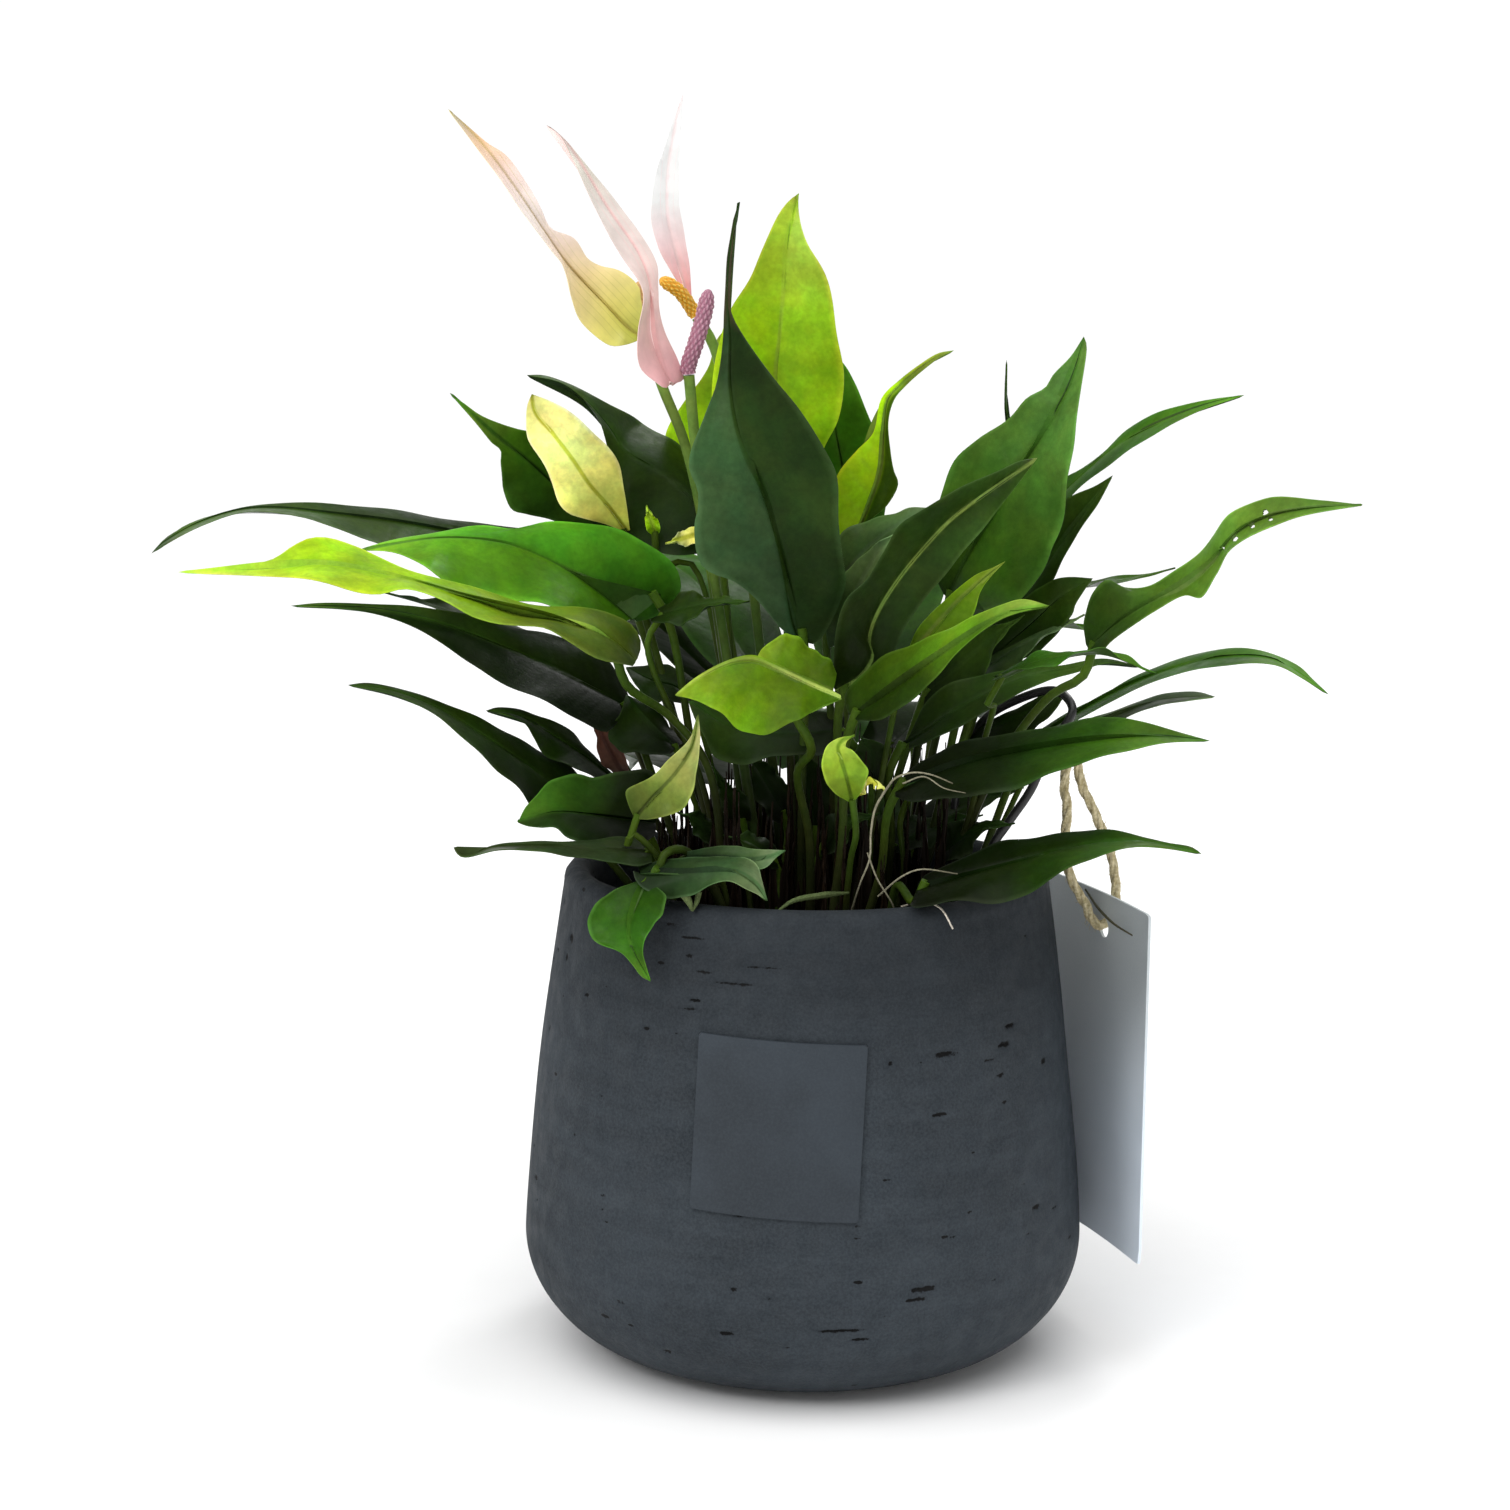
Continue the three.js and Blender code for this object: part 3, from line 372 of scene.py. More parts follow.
leafTones = {
    # upper face from base to tip, veins, under face
    # The upper face darkens towards the base: painted shade where the leaves crowd in the crown
    "dark": (("111d05", "1f320a", "2a420e", "38541a"), "2c4414", "22341a"),
    # deep: the leaves inside the crown, darkened as painted shade
    "deep": (("0b1204", "131f07", "1c2e0a", "22360e"), "1c300c", "16240c"),
    "mid": (("1a3007", "2a500c", "335f0f", "4f761c"), "386016", "2e441e"),
    "bright": (("3c5a0c", "506e0e", "648a12", "84a02c"), "748c30", "5c7828"),
    "lime": (("5c8c0c", "80b20a", "93c414", "acca3c"), "8cb02c", "7a9c38"),
    "cream": (("c0c848", "e0e070", "f0f094", "e8e488"), "b0b43c", "bcc464"),
    # grey: a greyed green, partly the leaf's own paler skin and partly painted sheen of the light on it
    "grey": (("263a16", "364c22", "486034", "667e56"), "4a6038", "586c48"),
    "bract": (("3b2a22", "5a3c30", "7a5544"), "4a3028", "5a4034"),
}
# Stalks darken towards the soil: painted shade under the leaves
stalkTones = ("1a1b12", "262c12", "3c5414")  # from the soil to the blade
leafMake = dict(rows=54, columns=25, thickness=0.5, ridge=0.75, groove=0.22)
deepGrid = dict(rows=36, columns=17)
holedGrid = dict(rows=220, columns=67)
noVeins = (50.0, 0, 0.5)  # a place on a leaf too far from its rib for a vein's colour
soilTop = 101.0
stalkRadius = dict(leaf=(1.45, 1.2, 1.05, 1.0, 1.2), thin=(1.1, 0.9, 0.8, 0.75, 0.9))


def outline(t, drip=0.16, belly=0.34, neck=0.07, hollow=1.25, base=0.45):
    # Share of the full half width: an ellipse's quarter up to the belly, then a curve that falls to the
    # neck, then a short taper along the drip tip
    s = t / (1 - drip)
    low = np.sqrt(1 - (1 - base**2) * (1 - np.minimum(s / belly, 1)) ** 2)
    c = np.clip((s - belly) / (1 - belly), 0, 1)
    high = neck + (1 - neck) * (1 - c**1.7) ** hollow
    tip = neck * (1 - 0.85 * np.clip((t - (1 - drip)) / drip, 0, 1) ** 0.6)
    return np.where(s >= 1, tip, np.where(s < belly, low, high))


def bladeGrid(leaf, rows, columns):
    # Middle surface of a blade. t runs base to tip and side from the left edge, -1, to the right, 1.
    # place = rib(t) + out * half width * |side| - heading * lobe
    #         + faceUp * (wave + ripple - 0.1 * half width * side^2)
    # Roll turns the blade about its rib, and fold lifts both halves.
    t = np.linspace(0, 1, rows)
    u = np.linspace(-1, 1, columns)
    side = np.sign(u) * np.abs(u) ** 1.35  # closer together near the rib
    rib, heading, length = smoothLine(seen(leaf["rib"]), t, even=True)
    look = np.broadcast_to([0.0, 0, -1], rib.shape) if leaf.get("sky") else unit(rib - eye)
    left = unit(np.cross(heading, look))
    away = unit(np.cross(left, heading))
    roll = np.radians(steps(leaf["roll"], t))[:, None, None]
    fold = np.radians(steps(leaf.get("fold", 8), t))[:, None, None]
    left, away, heading = left[:, None], away[:, None], heading[:, None]
    faceUp = left * np.sin(roll) - away * np.cos(roll)
    half = np.where(side < 0, 1, -1)[None, :, None]
    angle = half * roll - fold
    out = half * left * np.cos(angle) + away * np.sin(angle)
    share = np.abs(side)[None, :]
    shape = {key: leaf[key] for key in ("drip", "belly", "neck", "hollow", "base") if key in leaf}
    width = leaf["half"] * outline(t, **shape)[:, None]
    lobe = leaf["half"] * leaf.get("lobe", 0.3) * share**1.5 * np.maximum(0, 1 - t[:, None] / 0.22) ** 2
    ends = np.minimum(1, np.minimum(5 * t, 4 * (1 - t)))[:, None]
    wave = leaf.get("wave", 1.2) * share**2 * ends * np.sin(
        2 * np.pi * 1.7 * t[:, None] + side[None, :])
    ripple = leaf.get("ripple", 0.35) * share**3 * ends * np.sin(
        2 * np.pi * (5.3 * t[:, None] + 0.4 * side[None, :]) + length)
    lift = wave + ripple - 0.1 * width * share**2
    points = rib[:, None] + out * (width * share)[..., None] - heading * lobe[..., None]
    points = points + faceUp * lift[..., None]
    across = width * side[None, :]
    along = t[:, None] * length - lobe
    for key, chosen, sign in (("leftEdge", side < 0, 1), ("rightEdge", side > 0, -1)):
        if key in leaf:
            # The edge's own line takes the outline's place, and stands nearer or further by the same angle
            line = smoothLine([(x, z, 0) for x, z in leaf["rib2"]], t)[0]
            edge = smoothLine([(x, z, 0) for x, z in leaf[key]], t)[0]
            wide = np.linalg.norm(edge - line, axis=1)
            turn = np.radians(sign * steps(leaf["roll"], t) - steps(leaf.get("fold", 8), t))
            backs = np.interp(t, np.linspace(0, 1, len(leaf["rib"])), [back for _, _, back in leaf["rib"]])
            deep = np.sin(turn) * np.minimum(wide / np.maximum(np.abs(np.cos(turn)), 0.15), leaf["half"])
            low = np.column_stack([line[:, :2], backs])[:, None]
            high = np.column_stack([edge[:, :2], backs + deep])[:, None]
            spread = 0.3 * share * np.minimum(1, 6 * (1 - t))[:, None]
            rise = lift * np.minimum(1, wide / 8)[:, None]
            spot = seen(low + (high - low) * share[..., None])
            spot = spot + out * spread[..., None] + faceUp * rise[..., None]
            points[:, chosen] = spot[:, chosen]
            across = np.where(chosen, -sign * share * wide[:, None] * 1.3, across)
    places = np.stack([across, along, np.broadcast_to(share, across.shape)], -1)
    return points, faceUp, places, t


def keptSquares(middle, leaf):
    # All squares but those whose middle the eye sees within the radius of one of the leaf's holes
    centre = measured((middle[:-1, :-1] + middle[1:, 1:]) / 2)
    kept = np.ones(centre.shape[:2], bool)
    for x, z, radius in leaf.get("holes", ()):
        kept &= np.hypot(centre[..., 0] - x, centre[..., 1] - z) > radius
    return kept


def blade(leaf, tones, rows=None, columns=None):
    # Both faces stand half the thickness off the middle surface, thinner towards the edge, with a groove
    # over the rib and a ridge under it
    rows, columns = rows or leafMake["rows"], columns or leafMake["columns"]
    middle, faceUp, places, t = bladeGrid(leaf, rows, columns)
    normal = unit(np.cross(np.gradient(middle, axis=1), np.gradient(middle, axis=0)))
    normal *= np.sign(np.sum(normal * faceUp, -1).mean())
    across, share = np.abs(places[..., 0]), places[..., 2]
    thick = leaf.get("thickness", leafMake["thickness"]) * (1 - 0.7 * share**3) / 2
    taper = (1 - t[:, None]) ** 0.6
    crest = np.exp(-(across / 0.8) ** 2) * taper
    top = middle + normal * (thick - leafMake["groove"] * crest)[..., None]
    under = middle - normal * (thick + leafMake["ridge"] * crest)[..., None]
    upper, veins, lower = leaf.get("tones", tones)
    tone = painted(upper, t)[:, None] + 0 * top
    side = np.clip(places[..., :1] / 1.2, -1, 1) * 0.5 + 0.5
    # Painted light and shade: each half's colour times its own factor, lighter where a half catches light or
    # a sheen, darker in shadow
    leftLightAndShade = np.array(leaf.get("leftLightAndShade", (1, 1, 1)))
    rightLightAndShade = np.array(leaf.get("rightLightAndShade", (1, 1, 1)))
    tone = tone * (leftLightAndShade * (1 - side) + rightLightAndShade * side)
    # Painted light: the outer tenth of the blade lighter, as light shines through the thin margin
    edge = np.clip((share - 0.9) / 0.1, 0, 1)[..., None] * leaf.get("rim", 0.5)
    tone = tone + (np.minimum(tone * 2.2 + 0.015, 0.8) - tone) * edge
    dry = np.clip((t - leaf.get("dryFrom", 0.95)) / 0.05, 0, 1)[:, None, None]
    tone = tone + (paint("3a3322") - tone) * dry * leaf.get("dry", 0.6)
    lowTone = paint(lower) + 0 * top
    nearRib = np.clip(1.6 - np.abs(places[..., :1]) / 1.2, 0, 1)
    nearRib = nearRib * np.clip((leaf.get("ribEnd", 2) - t) / 0.15, 0, 1)[:, None, None]
    # The veins are darker and lighter with the tone around them, its painted light and shade included
    light = tone.sum(-1, keepdims=True)
    veinTone = paint(veins) * light / light.mean()
    veinTone = veinTone + (paint(leaf.get("ribTone", veins)) - veinTone) * nearRib * ("ribTone" in leaf)
    lowVein = lowTone * 1.25
    points = np.concatenate([top.reshape(-1, 3), under.reshape(-1, 3)])
    faces = sheetFaces(rows, columns, kept=keptSquares(middle, leaf))
    if np.sum(np.cross(top[1, 1] - top[0, 0], top[0, 1] - top[0, 0]) * normal[0, 0]) > 0:
        faces = faces[:, ::-1]
    tone = np.concatenate([tone.reshape(-1, 3), lowTone.reshape(-1, 3)])
    veinTone = np.concatenate([veinTone.reshape(-1, 3), lowVein.reshape(-1, 3)])
    places = np.concatenate([places.reshape(-1, 3)] * 2)
    return points, [faces], tone, veinTone, places


def stalk(leaf, foot, radii):
    # From 12 mm down in the soil straight up, then over in one bend into the rib near the blade's base
    ends, headings, _ = smoothLine(seen(leaf["rib"]), [0, 0.03], even=True)
    end = ends[1]
    reach = np.linalg.norm(end - foot)
    bend = unit(-0.4 * headings[0] + [0, 0, -0.6])
    route = [foot - [0, 0, 12], foot + [0, 0, 5.4]]
    if "by" in leaf:
        route += list(seen(leaf["by"]))
    else:
        route.append(foot + (end - foot) * 0.45 + [0, 0, 0.06 * reach])
    route += [end + bend * min(9, 0.2 * reach), end]
    points, faces, t = tube(route, radii, sides=10, rings=36)
    tone = np.repeat(painted(stalkTones, t), 10, axis=0)
    return points, faces, tone, tone * 1.1, np.repeat([noVeins], len(points), axis=0)


# rib: base to tip, (across, up, back). half: widest half width. roll and fold in degrees, base to tip.
# leftEdge, rightEdge: (across, up) base to tip, where a blade's outline is its own, about the line rib2.
# Leaves in one list grow from one shoot and share its foot.
# A leaf's own tones, like the tone tables, darken towards its base as painted shade.
# Each half's colour factor paints light and shade: lighter for a lit half or a sheen, darker for one in
# shadow.
shoots = {
    "leaf_left_1": [
        dict(rib=[(-62, 200, 21), (-90, 204.5, 17), (-118, 206.3, 9), (-140, 207.2, 3), (-154, 203.8, -2),
             (-163.5, 196.5, -6)], half=12, roll=-77, drip=0.22, foot=(-28, 17), tone="dark",
             leftLightAndShade=(1.7, 1.6, 2.2), dryFrom=0.9,
             rib2=[(-62, 197), (-80, 201), (-100, 204.5), (-118, 206.6), (-132, 207.9), (-141, 207.4),
                 (-151, 204.3), (-159, 200), (-163.5, 196.5)],
             leftEdge=[(-60, 190), (-80, 192), (-95, 196.5), (-104, 200), (-112, 202.3), (-119, 204.4),
                 (-126, 206.3), (-140, 206.9), (-150, 203.8), (-158.5, 199.6), (-163.5, 196.5)],
             rightEdge=[(-62, 203), (-84, 205.5), (-100, 208.5), (-120, 209.2), (-132, 209), (-141, 207.9),
                 (-151, 204.9), (-159.5, 200.6), (-163.5, 196.5)]),
        dict(rib=[(-60, 172, 30), (-80, 180, 26), (-95, 185, 22), (-107, 188, 18)], half=8, roll=-70,
             tone="dark"),
    ],
    "leaf_left_2": [
        dict(rib=[(-37, 188, -1), (-55, 192, -6), (-80, 197, -10), (-100, 199.5, -12), (-112, 198, -14)],
             half=19, roll=-53, fold=12, drip=0.1, belly=0.26, hollow=1.5, foot=(-19, -2), tone="mid",
             leftLightAndShade=(2.3, 2.2, 1.2), rightLightAndShade=(2.1, 2.5, 2.0), dryFrom=0.95,
             rib2=[(-44, 182), (-53, 189), (-62, 195), (-74, 200), (-90, 201.5), (-112, 198)],
             leftEdge=[(-46, 181), (-57, 183.5), (-68, 186.5), (-80, 189.5), (-91, 191.5), (-97, 195),
                 (-104, 197.6), (-112, 198)],
             rightEdge=[(-43, 181), (-38, 183), (-32, 188.5), (-32.5, 195), (-36, 200), (-42, 203.5),
                 (-48, 206), (-55, 206.8), (-65, 205.5), (-73, 203.5), (-80, 203.8), (-94, 202.4),
                 (-104, 200.4), (-112, 198)]),
        dict(rib=[(-37, 183, -6), (-29, 185, -10), (-22, 186, -12), (-15, 186.5, -13)], half=6, roll=60,
             tone="dark"),
    ],
    "leaf_left_3": [
        dict(rib=[(-46, 172, -30), (-60, 181.5, -40), (-85, 187.5, -47), (-120, 195.3, -47),
             (-157, 192, -48)], half=14, roll=(-105, -75, -62, -80, -55, -60), tone="lime", foot=(-20, -13),
             by=[(-25, 145, -18), (-35, 158, -22)], leftLightAndShade=(1.05, 0.95, 1.6), dry=0,
             tones=(("3a4a16", "587514", "84b00a", "98c818", "b4cc44"), "84a82c", "6c8a30"),
             rib2=[(-43, 171.5), (-50, 177.5), (-60, 181), (-72, 182.5), (-85, 187), (-100, 191),
                 (-120, 194.5), (-135, 193), (-157, 192)],
             leftEdge=[(-44, 170.2), (-52, 172.5), (-60, 176.5), (-66, 179.5), (-72, 180), (-78, 180.5),
                 (-83, 182), (-91, 186.5), (-100, 189), (-107, 188.2), (-120, 190), (-130, 191),
                 (-150, 191.7), (-157, 192)],
             rightEdge=[(-42.5, 172), (-41.5, 176), (-43.5, 180.5), (-50, 183.8), (-65, 186), (-75, 188),
                 (-88, 191), (-100, 193.3), (-107, 196), (-112, 198.3), (-119, 200.4), (-124, 200.2),
                 (-129, 198), (-133, 195.5), (-140, 193.8), (-157, 192)]),
    ],
    "leaf_left_4": [
        dict(rib=[(-44, 160, 8), (-65, 170, 4), (-90, 179.5, 0), (-110, 183.6, -4), (-129, 184, -8)], half=15,
             roll=-52, belly=0.28, hollow=1.5, foot=(-26, 6), tone="dark", leftLightAndShade=(0.35, 0.4, 0.3),
             dryFrom=0.93,
             rib2=[(-45, 160), (-60, 167.5), (-75, 174), (-90, 179.5), (-108, 183.2), (-129, 184)],
             leftEdge=[(-46, 158), (-49.5, 154.5), (-52, 155), (-56, 157), (-63.5, 160.5), (-70.5, 163.5),
                 (-75, 166), (-84, 171.5), (-90, 175.5), (-100, 180), (-106, 181.9), (-116, 183.6),
                 (-129, 184)],
             rightEdge=[(-45, 163), (-50, 172), (-60, 178), (-75, 181), (-90, 183), (-100, 184),
                 (-112, 184.6), (-122, 184.7), (-129, 184)]),
    ],
    "leaf_left_5": [
        dict(rib=[(-56, 134, -2), (-66, 142, -8), (-80, 151.5, -14), (-92, 157.8, -18), (-103, 162, -22),
             (-115, 164.5, -26)], half=11, roll=-58, belly=0.24, hollow=1.6, foot=(-38, -3), tone="dark",
             dryFrom=0.9, rightLightAndShade=(0.75, 0.75, 0.75),
             rib2=[(-55, 134), (-66, 142), (-80, 151.5), (-92, 158.6), (-103, 162.9), (-115, 164.5)],
             leftEdge=[(-55, 132), (-58, 130), (-63, 130), (-69, 134.5), (-73.5, 140.7), (-77.5, 144.5),
                 (-83, 150), (-88.7, 154.5), (-95, 158.5), (-104, 162.3), (-115, 164.5)],
             rightEdge=[(-54, 137), (-56, 141), (-60, 145.5), (-66, 149), (-72, 152.5), (-83, 157),
                 (-90, 159.5), (-100, 163), (-110, 165), (-115, 164.5)]),
    ],
    "leaf_left_6": [
        dict(rib=[(-47, 141, 10), (-56, 148, 5), (-67, 154.5, 0), (-80.5, 158.5, -6)], half=8, roll=-55,
             foot=(-33, 6), tone="dark", dryFrom=0.9, leftLightAndShade=(0.7, 0.7, 0.7), rightLightAndShade=(0.7, 0.7, 0.7),
             rib2=[(-47, 140.5), (-55, 147), (-63, 152.3), (-72, 157.2), (-80.5, 158.5)],
             leftEdge=[(-47, 139), (-54.5, 142.8), (-60, 145.5), (-66, 149), (-68.4, 152.4), (-71, 155.6),
                 (-76, 157.8), (-80.5, 158.5)],
             rightEdge=[(-47, 141.5), (-50, 144), (-55.3, 149.7), (-57.5, 152.7), (-61, 155), (-66.7, 156.7),
                 (-72, 158.7), (-77.5, 159.3), (-80.5, 158.5)]),
        dict(rib=[(-46, 143, 2), (-50, 150, 1), (-53.7, 157.7, 1), (-56.5, 162.5, 2)], half=3.2, roll=30,
             tone="bract"),
    ],
    "leaf_left_7": [
        dict(rib=[(-40, 130, -16), (-52, 132.5, -24), (-63, 133.3, -30), (-72.5, 131, -34)], half=14,
             roll=-55, fold=10, drip=0.1, foot=(-30, -11), tone="mid", rim=0.8, leftLightAndShade=(0.3, 0.3, 0.3),
             tones=(("0a0f04", "121e07", "2e5010", "44701c"), "24400e", "283c1c"),
             rib2=[(-38, 131), (-46, 132), (-55.7, 133), (-63, 133.3), (-72.5, 130.8)],
             leftEdge=[(-38, 128), (-42, 126), (-50, 125.8), (-60.5, 128.2), (-63, 129.2), (-67, 129.3),
                 (-70, 129.6), (-72.5, 130.5)],
             rightEdge=[(-38, 134), (-37, 141), (-39, 145), (-43, 145.9), (-50, 143.9), (-54.5, 142.4),
                 (-60, 142.2), (-64.3, 140.8), (-67.3, 138), (-70.5, 134.5), (-72.5, 130.5)]),
    ],
    "leaf_left_8": [
        dict(rib=[(-39, 124, -38), (-52, 124.5, -47), (-68, 124.3, -53), (-80, 124, -56), (-88.7, 124, -58)],
             half=9, roll=-75, drip=0.3, foot=(-27, -24), tone="mid",
             tones=(("1c2610", "263618", "2c4016", "345220"), "2c3a1c", "283818"), by=[(-33, 120, -32)],
             rib2=[(-39, 123.5), (-52, 124.2), (-66, 124.4), (-78, 124.1), (-86.5, 122.1), (-88.7, 124)],
             leftEdge=[(-39, 121), (-42.5, 120.3), (-50.6, 121), (-59.3, 122.3), (-67, 123.5), (-77, 123.5),
                 (-86.7, 121.7), (-88.7, 124)],
             rightEdge=[(-39, 125.5), (-44, 127), (-50.4, 127.2), (-58.5, 126.2), (-71, 125.4), (-78, 124.7),
                 (-86.4, 122.4), (-88.7, 124)]),
        dict(rib=[(-43, 132.5, -42), (-37, 138, -44), (-31.5, 146, -44), (-27.5, 158.3, -42)], half=6.5,
             roll=20, fold=20, drip=0.28, tone="cream", by=[(-38, 123, -40), (-44, 128, -42)],
             tones=(("3e4c1c", "66762e", "8c9450", "a8a872"), "58662c", "5c6c30"),
             rib2=[(-43, 132.3), (-38.5, 137.5), (-33, 143.5), (-29, 150), (-27.5, 158.3)],
             leftEdge=[(-43.3, 132.2), (-45, 136), (-44.8, 138.8), (-39.4, 142), (-34.5, 147), (-30, 151),
                 (-28.2, 154.5), (-27.5, 158.3)],
             rightEdge=[(-42.5, 132), (-39.4, 132), (-33, 134), (-29.6, 138), (-27.8, 144.3), (-27.3, 150),
                 (-27.2, 154), (-27.5, 158.3)]),
    ],
    "leaf_front_1": [
        dict(rib=[(-38, 119.5, -50), (-30, 119.5, -54), (-20, 119.5, -57), (-10, 111.5, -58)], half=8.5,
             roll=35, fold=-20, drip=0.12, lobe=0.1, foot=(-17, -33), tone="grey",
             tones=(("141f0c", "22361a", "3a5430", "7c9068"), "30482a", "304424"),
             rightLightAndShade=(0.8, 0.85, 0.75), by=[(-29, 122, -40)], rim=0.9,
             rib2=[(-41.5, 117.5), (-34, 118.2), (-26, 118.8), (-18, 118.8), (-13, 116), (-9.7, 111.5)],
             leftEdge=[(-42.5, 119.5), (-38, 121), (-30, 122), (-22, 123), (-16, 122.5), (-12.5, 120),
                 (-11.5, 117), (-9.7, 111.5)],
             rightEdge=[(-43.5, 119), (-43, 117), (-41.5, 115), (-38.4, 113.5), (-32, 113.2), (-26.5, 114.3),
                 (-20, 116.5), (-13.5, 114), (-9.7, 111.5)]),
        dict(rib=[(-29, 122, -45), (-22, 121.5, -49), (-13, 121.5, -51), (-5.2, 124.4, -51)], half=5, roll=20,
             drip=0.2, tone="grey", tones=(("1a2a14", "2a4020", "3c5630", "708460"), "30482a", "304424"),
             by=[(-24, 121, -38)],
             rib2=[(-30, 122), (-22, 122.5), (-14, 122), (-9, 122.8), (-5.2, 124.4)],
             leftEdge=[(-30, 123.5), (-24, 124.6), (-18, 125.2), (-12.4, 124.2), (-5.2, 124.4)],
             rightEdge=[(-30, 121), (-22, 120.5), (-15, 119.5), (-10.5, 120), (-8, 122.5), (-5.2, 124.4)]),
        dict(rib=[(-41, 117.5, -51), (-44, 111, -54), (-45, 104, -56), (-42, 97, -58), (-39, 90.5, -60)],
             half=10, roll=-20, fold=10, drip=0.12, tone="mid", by=[(-30, 123.7, -42), (-36, 122.5, -48.5)],
             leftLightAndShade=(0.7, 0.75, 0.8), rightLightAndShade=(0.95, 0.95, 1.3), rim=0.9,
             rib2=[(-40.5, 116), (-42.5, 110.5), (-44.5, 104.5), (-43.5, 98.5), (-39, 90.5)],
             leftEdge=[(-39.5, 116), (-35.5, 112.5), (-36.3, 108.4), (-39, 105), (-40.6, 101.8), (-41.2, 98),
                 (-40.2, 94), (-39, 90.5)],
             rightEdge=[(-42, 116), (-50.7, 112.5), (-54, 109.5), (-55.3, 106.5), (-54.6, 103.5),
                 (-53, 100.8), (-46.6, 98.2), (-43.5, 95), (-41.2, 91.8), (-39, 90.5)]),
    ],
    "leaf_upper_1": [
        dict(rib=[(-48, 200, 42), (-60, 211, 40), (-71, 220.5, 35), (-81.5, 230, 29), (-89.2, 236.7, 24)],
             half=13, roll=-25, belly=0.25, foot=(-20, 13), tone="mid",
             tones=(("0e1805", "24400c", "386010", "7c9c38"), "2c4c10", "2c4020"),
             rib2=[(-49, 201), (-60, 211.5), (-70, 220.5), (-79, 227.5), (-89.2, 236.7)],
             leftEdge=[(-52, 201), (-58, 203.5), (-64.7, 206.4), (-70, 207.6), (-73.2, 208.6), (-74.6, 213),
                 (-76.2, 220), (-76.4, 223), (-78.9, 225), (-83, 230), (-89.2, 236.7)],
             rightEdge=[(-48, 203), (-50, 214), (-56, 222), (-63, 226), (-69.8, 227.2), (-73.3, 228),
                 (-81.3, 230.9), (-85.5, 233.9), (-89.2, 236.7)]),
    ],
    "leaf_upper_2": [
        dict(rib=[(-46, 203, 13), (-54.7, 214.8, 10), (-63, 227, 9), (-69, 236.6, 11)], half=9.5, roll=10,
             fold=15, drip=0.03, hollow=0.8, foot=(-21, 4), tone="cream",
             rib2=[(-45.6, 203.5), (-50, 209.5), (-54.7, 214.8), (-59, 221), (-63.7, 227), (-68, 232),
                 (-69, 236.6)],
             leftEdge=[(-46, 203.5), (-50, 205), (-55.2, 206.5), (-59.4, 207.6), (-62, 210), (-65.3, 218.4),
                 (-69.6, 225.8), (-70.2, 230), (-70, 234), (-69, 236.6)],
             rightEdge=[(-45, 203.5), (-45.3, 206), (-46.4, 213), (-48.4, 220.6), (-53.2, 226.4),
                 (-59.5, 232), (-64.9, 235), (-69, 236.6)]),
    ],
    "leaf_upper_3": [
        dict(rib=[(-24, 206, 18), (-35, 216.4, 21), (-46, 223.5, 23), (-56, 234, 20), (-70.2, 241.2, 12)],
             half=14, roll=-45, fold=-15, foot=(-12, 9), tone="dark",
             rib2=[(-25, 206.5), (-30.9, 213.3), (-35.1, 216.4), (-41, 220), (-45.7, 222.8), (-51, 230),
                 (-58, 236.8), (-70.2, 241.2)],
             leftEdge=[(-25, 199), (-36, 198.5), (-44, 201), (-46.5, 209), (-47.5, 219), (-51.6, 229.5),
                 (-56.4, 235.8), (-62, 239.6), (-70.2, 241.2)],
             rightEdge=[(-23, 208), (-24, 215), (-27, 220), (-32, 226), (-38, 229), (-43.5, 231),
                 (-52.2, 235.2), (-59.6, 239), (-66, 241.1), (-70.2, 241.2)]),
        dict(rib=[(-27, 203, 10), (-31, 202, 8), (-36, 200.5, 6)], half=2.4, roll=-20, tone="cream"),
        dict(rib=[(-38.5, 203.3, 12), (-39.7, 206.5, 11), (-40.6, 209.8, 10)], half=2, roll=0, fold=30,
             tone="lime", by=[(-20, 160, 12), (-30, 196, 15)]),
    ],
    "leaf_upper_4": [
        dict(rib=[(-22, 196, 34), (-26, 215, 39), (-24, 236, 39), (-21.5, 253, 33)], half=13, roll=10,
             foot=(-9, 15), tone="lime",
             rib2=[(-22, 196), (-26, 215), (-24, 236), (-21.5, 253)],
             leftEdge=[(-23, 197), (-30, 205), (-35, 216), (-36.1, 227), (-30.9, 235.7), (-27.2, 240.5),
                 (-25.2, 244), (-23.7, 250), (-21.5, 253)],
             rightEdge=[(-20, 197), (-14, 210), (-12, 225), (-15, 238), (-19, 248), (-21.5, 253)]),
    ],
    "leaf_middle_1": [
        dict(rib=[(-1, 177, -18), (-7.5, 199, -24), (-14.5, 222, -26), (-20.5, 250, -20), (-19, 283, -8)],
             half=20, roll=(-10, 5, 20, 20), fold=12, drip=0.27, belly=0.42, lobe=0, base=0.15, foot=(-1, -9),
             tone="dark", rightLightAndShade=(0.8, 0.78, 0.9), tones=(("1f3410", "263e12", "1e320d", "14240a"),
             "1c300c", "22341a"), dryFrom=0.72, dry=0.85, leftLightAndShade=(1.7, 1.6, 4),
             rib2=[(-2.5, 177.5), (-4, 181.5), (-7.4, 199), (-11.7, 213.5), (-16, 221.5), (-18.8, 230),
                 (-20.3, 240), (-20.4, 251), (-21, 260), (-20.8, 270), (-18.3, 283.2)],
             leftEdge=[(-3.5, 177.5), (-6.2, 179.3), (-12.6, 186.5), (-18.5, 191.2), (-25, 193.8),
                 (-27.4, 196.5), (-28.6, 205), (-27.8, 209), (-28, 213.6), (-30.4, 219), (-30.3, 223),
                 (-26.6, 232.5), (-23.8, 239), (-21.8, 250), (-21.5, 257), (-21.3, 262.5), (-21.1, 270),
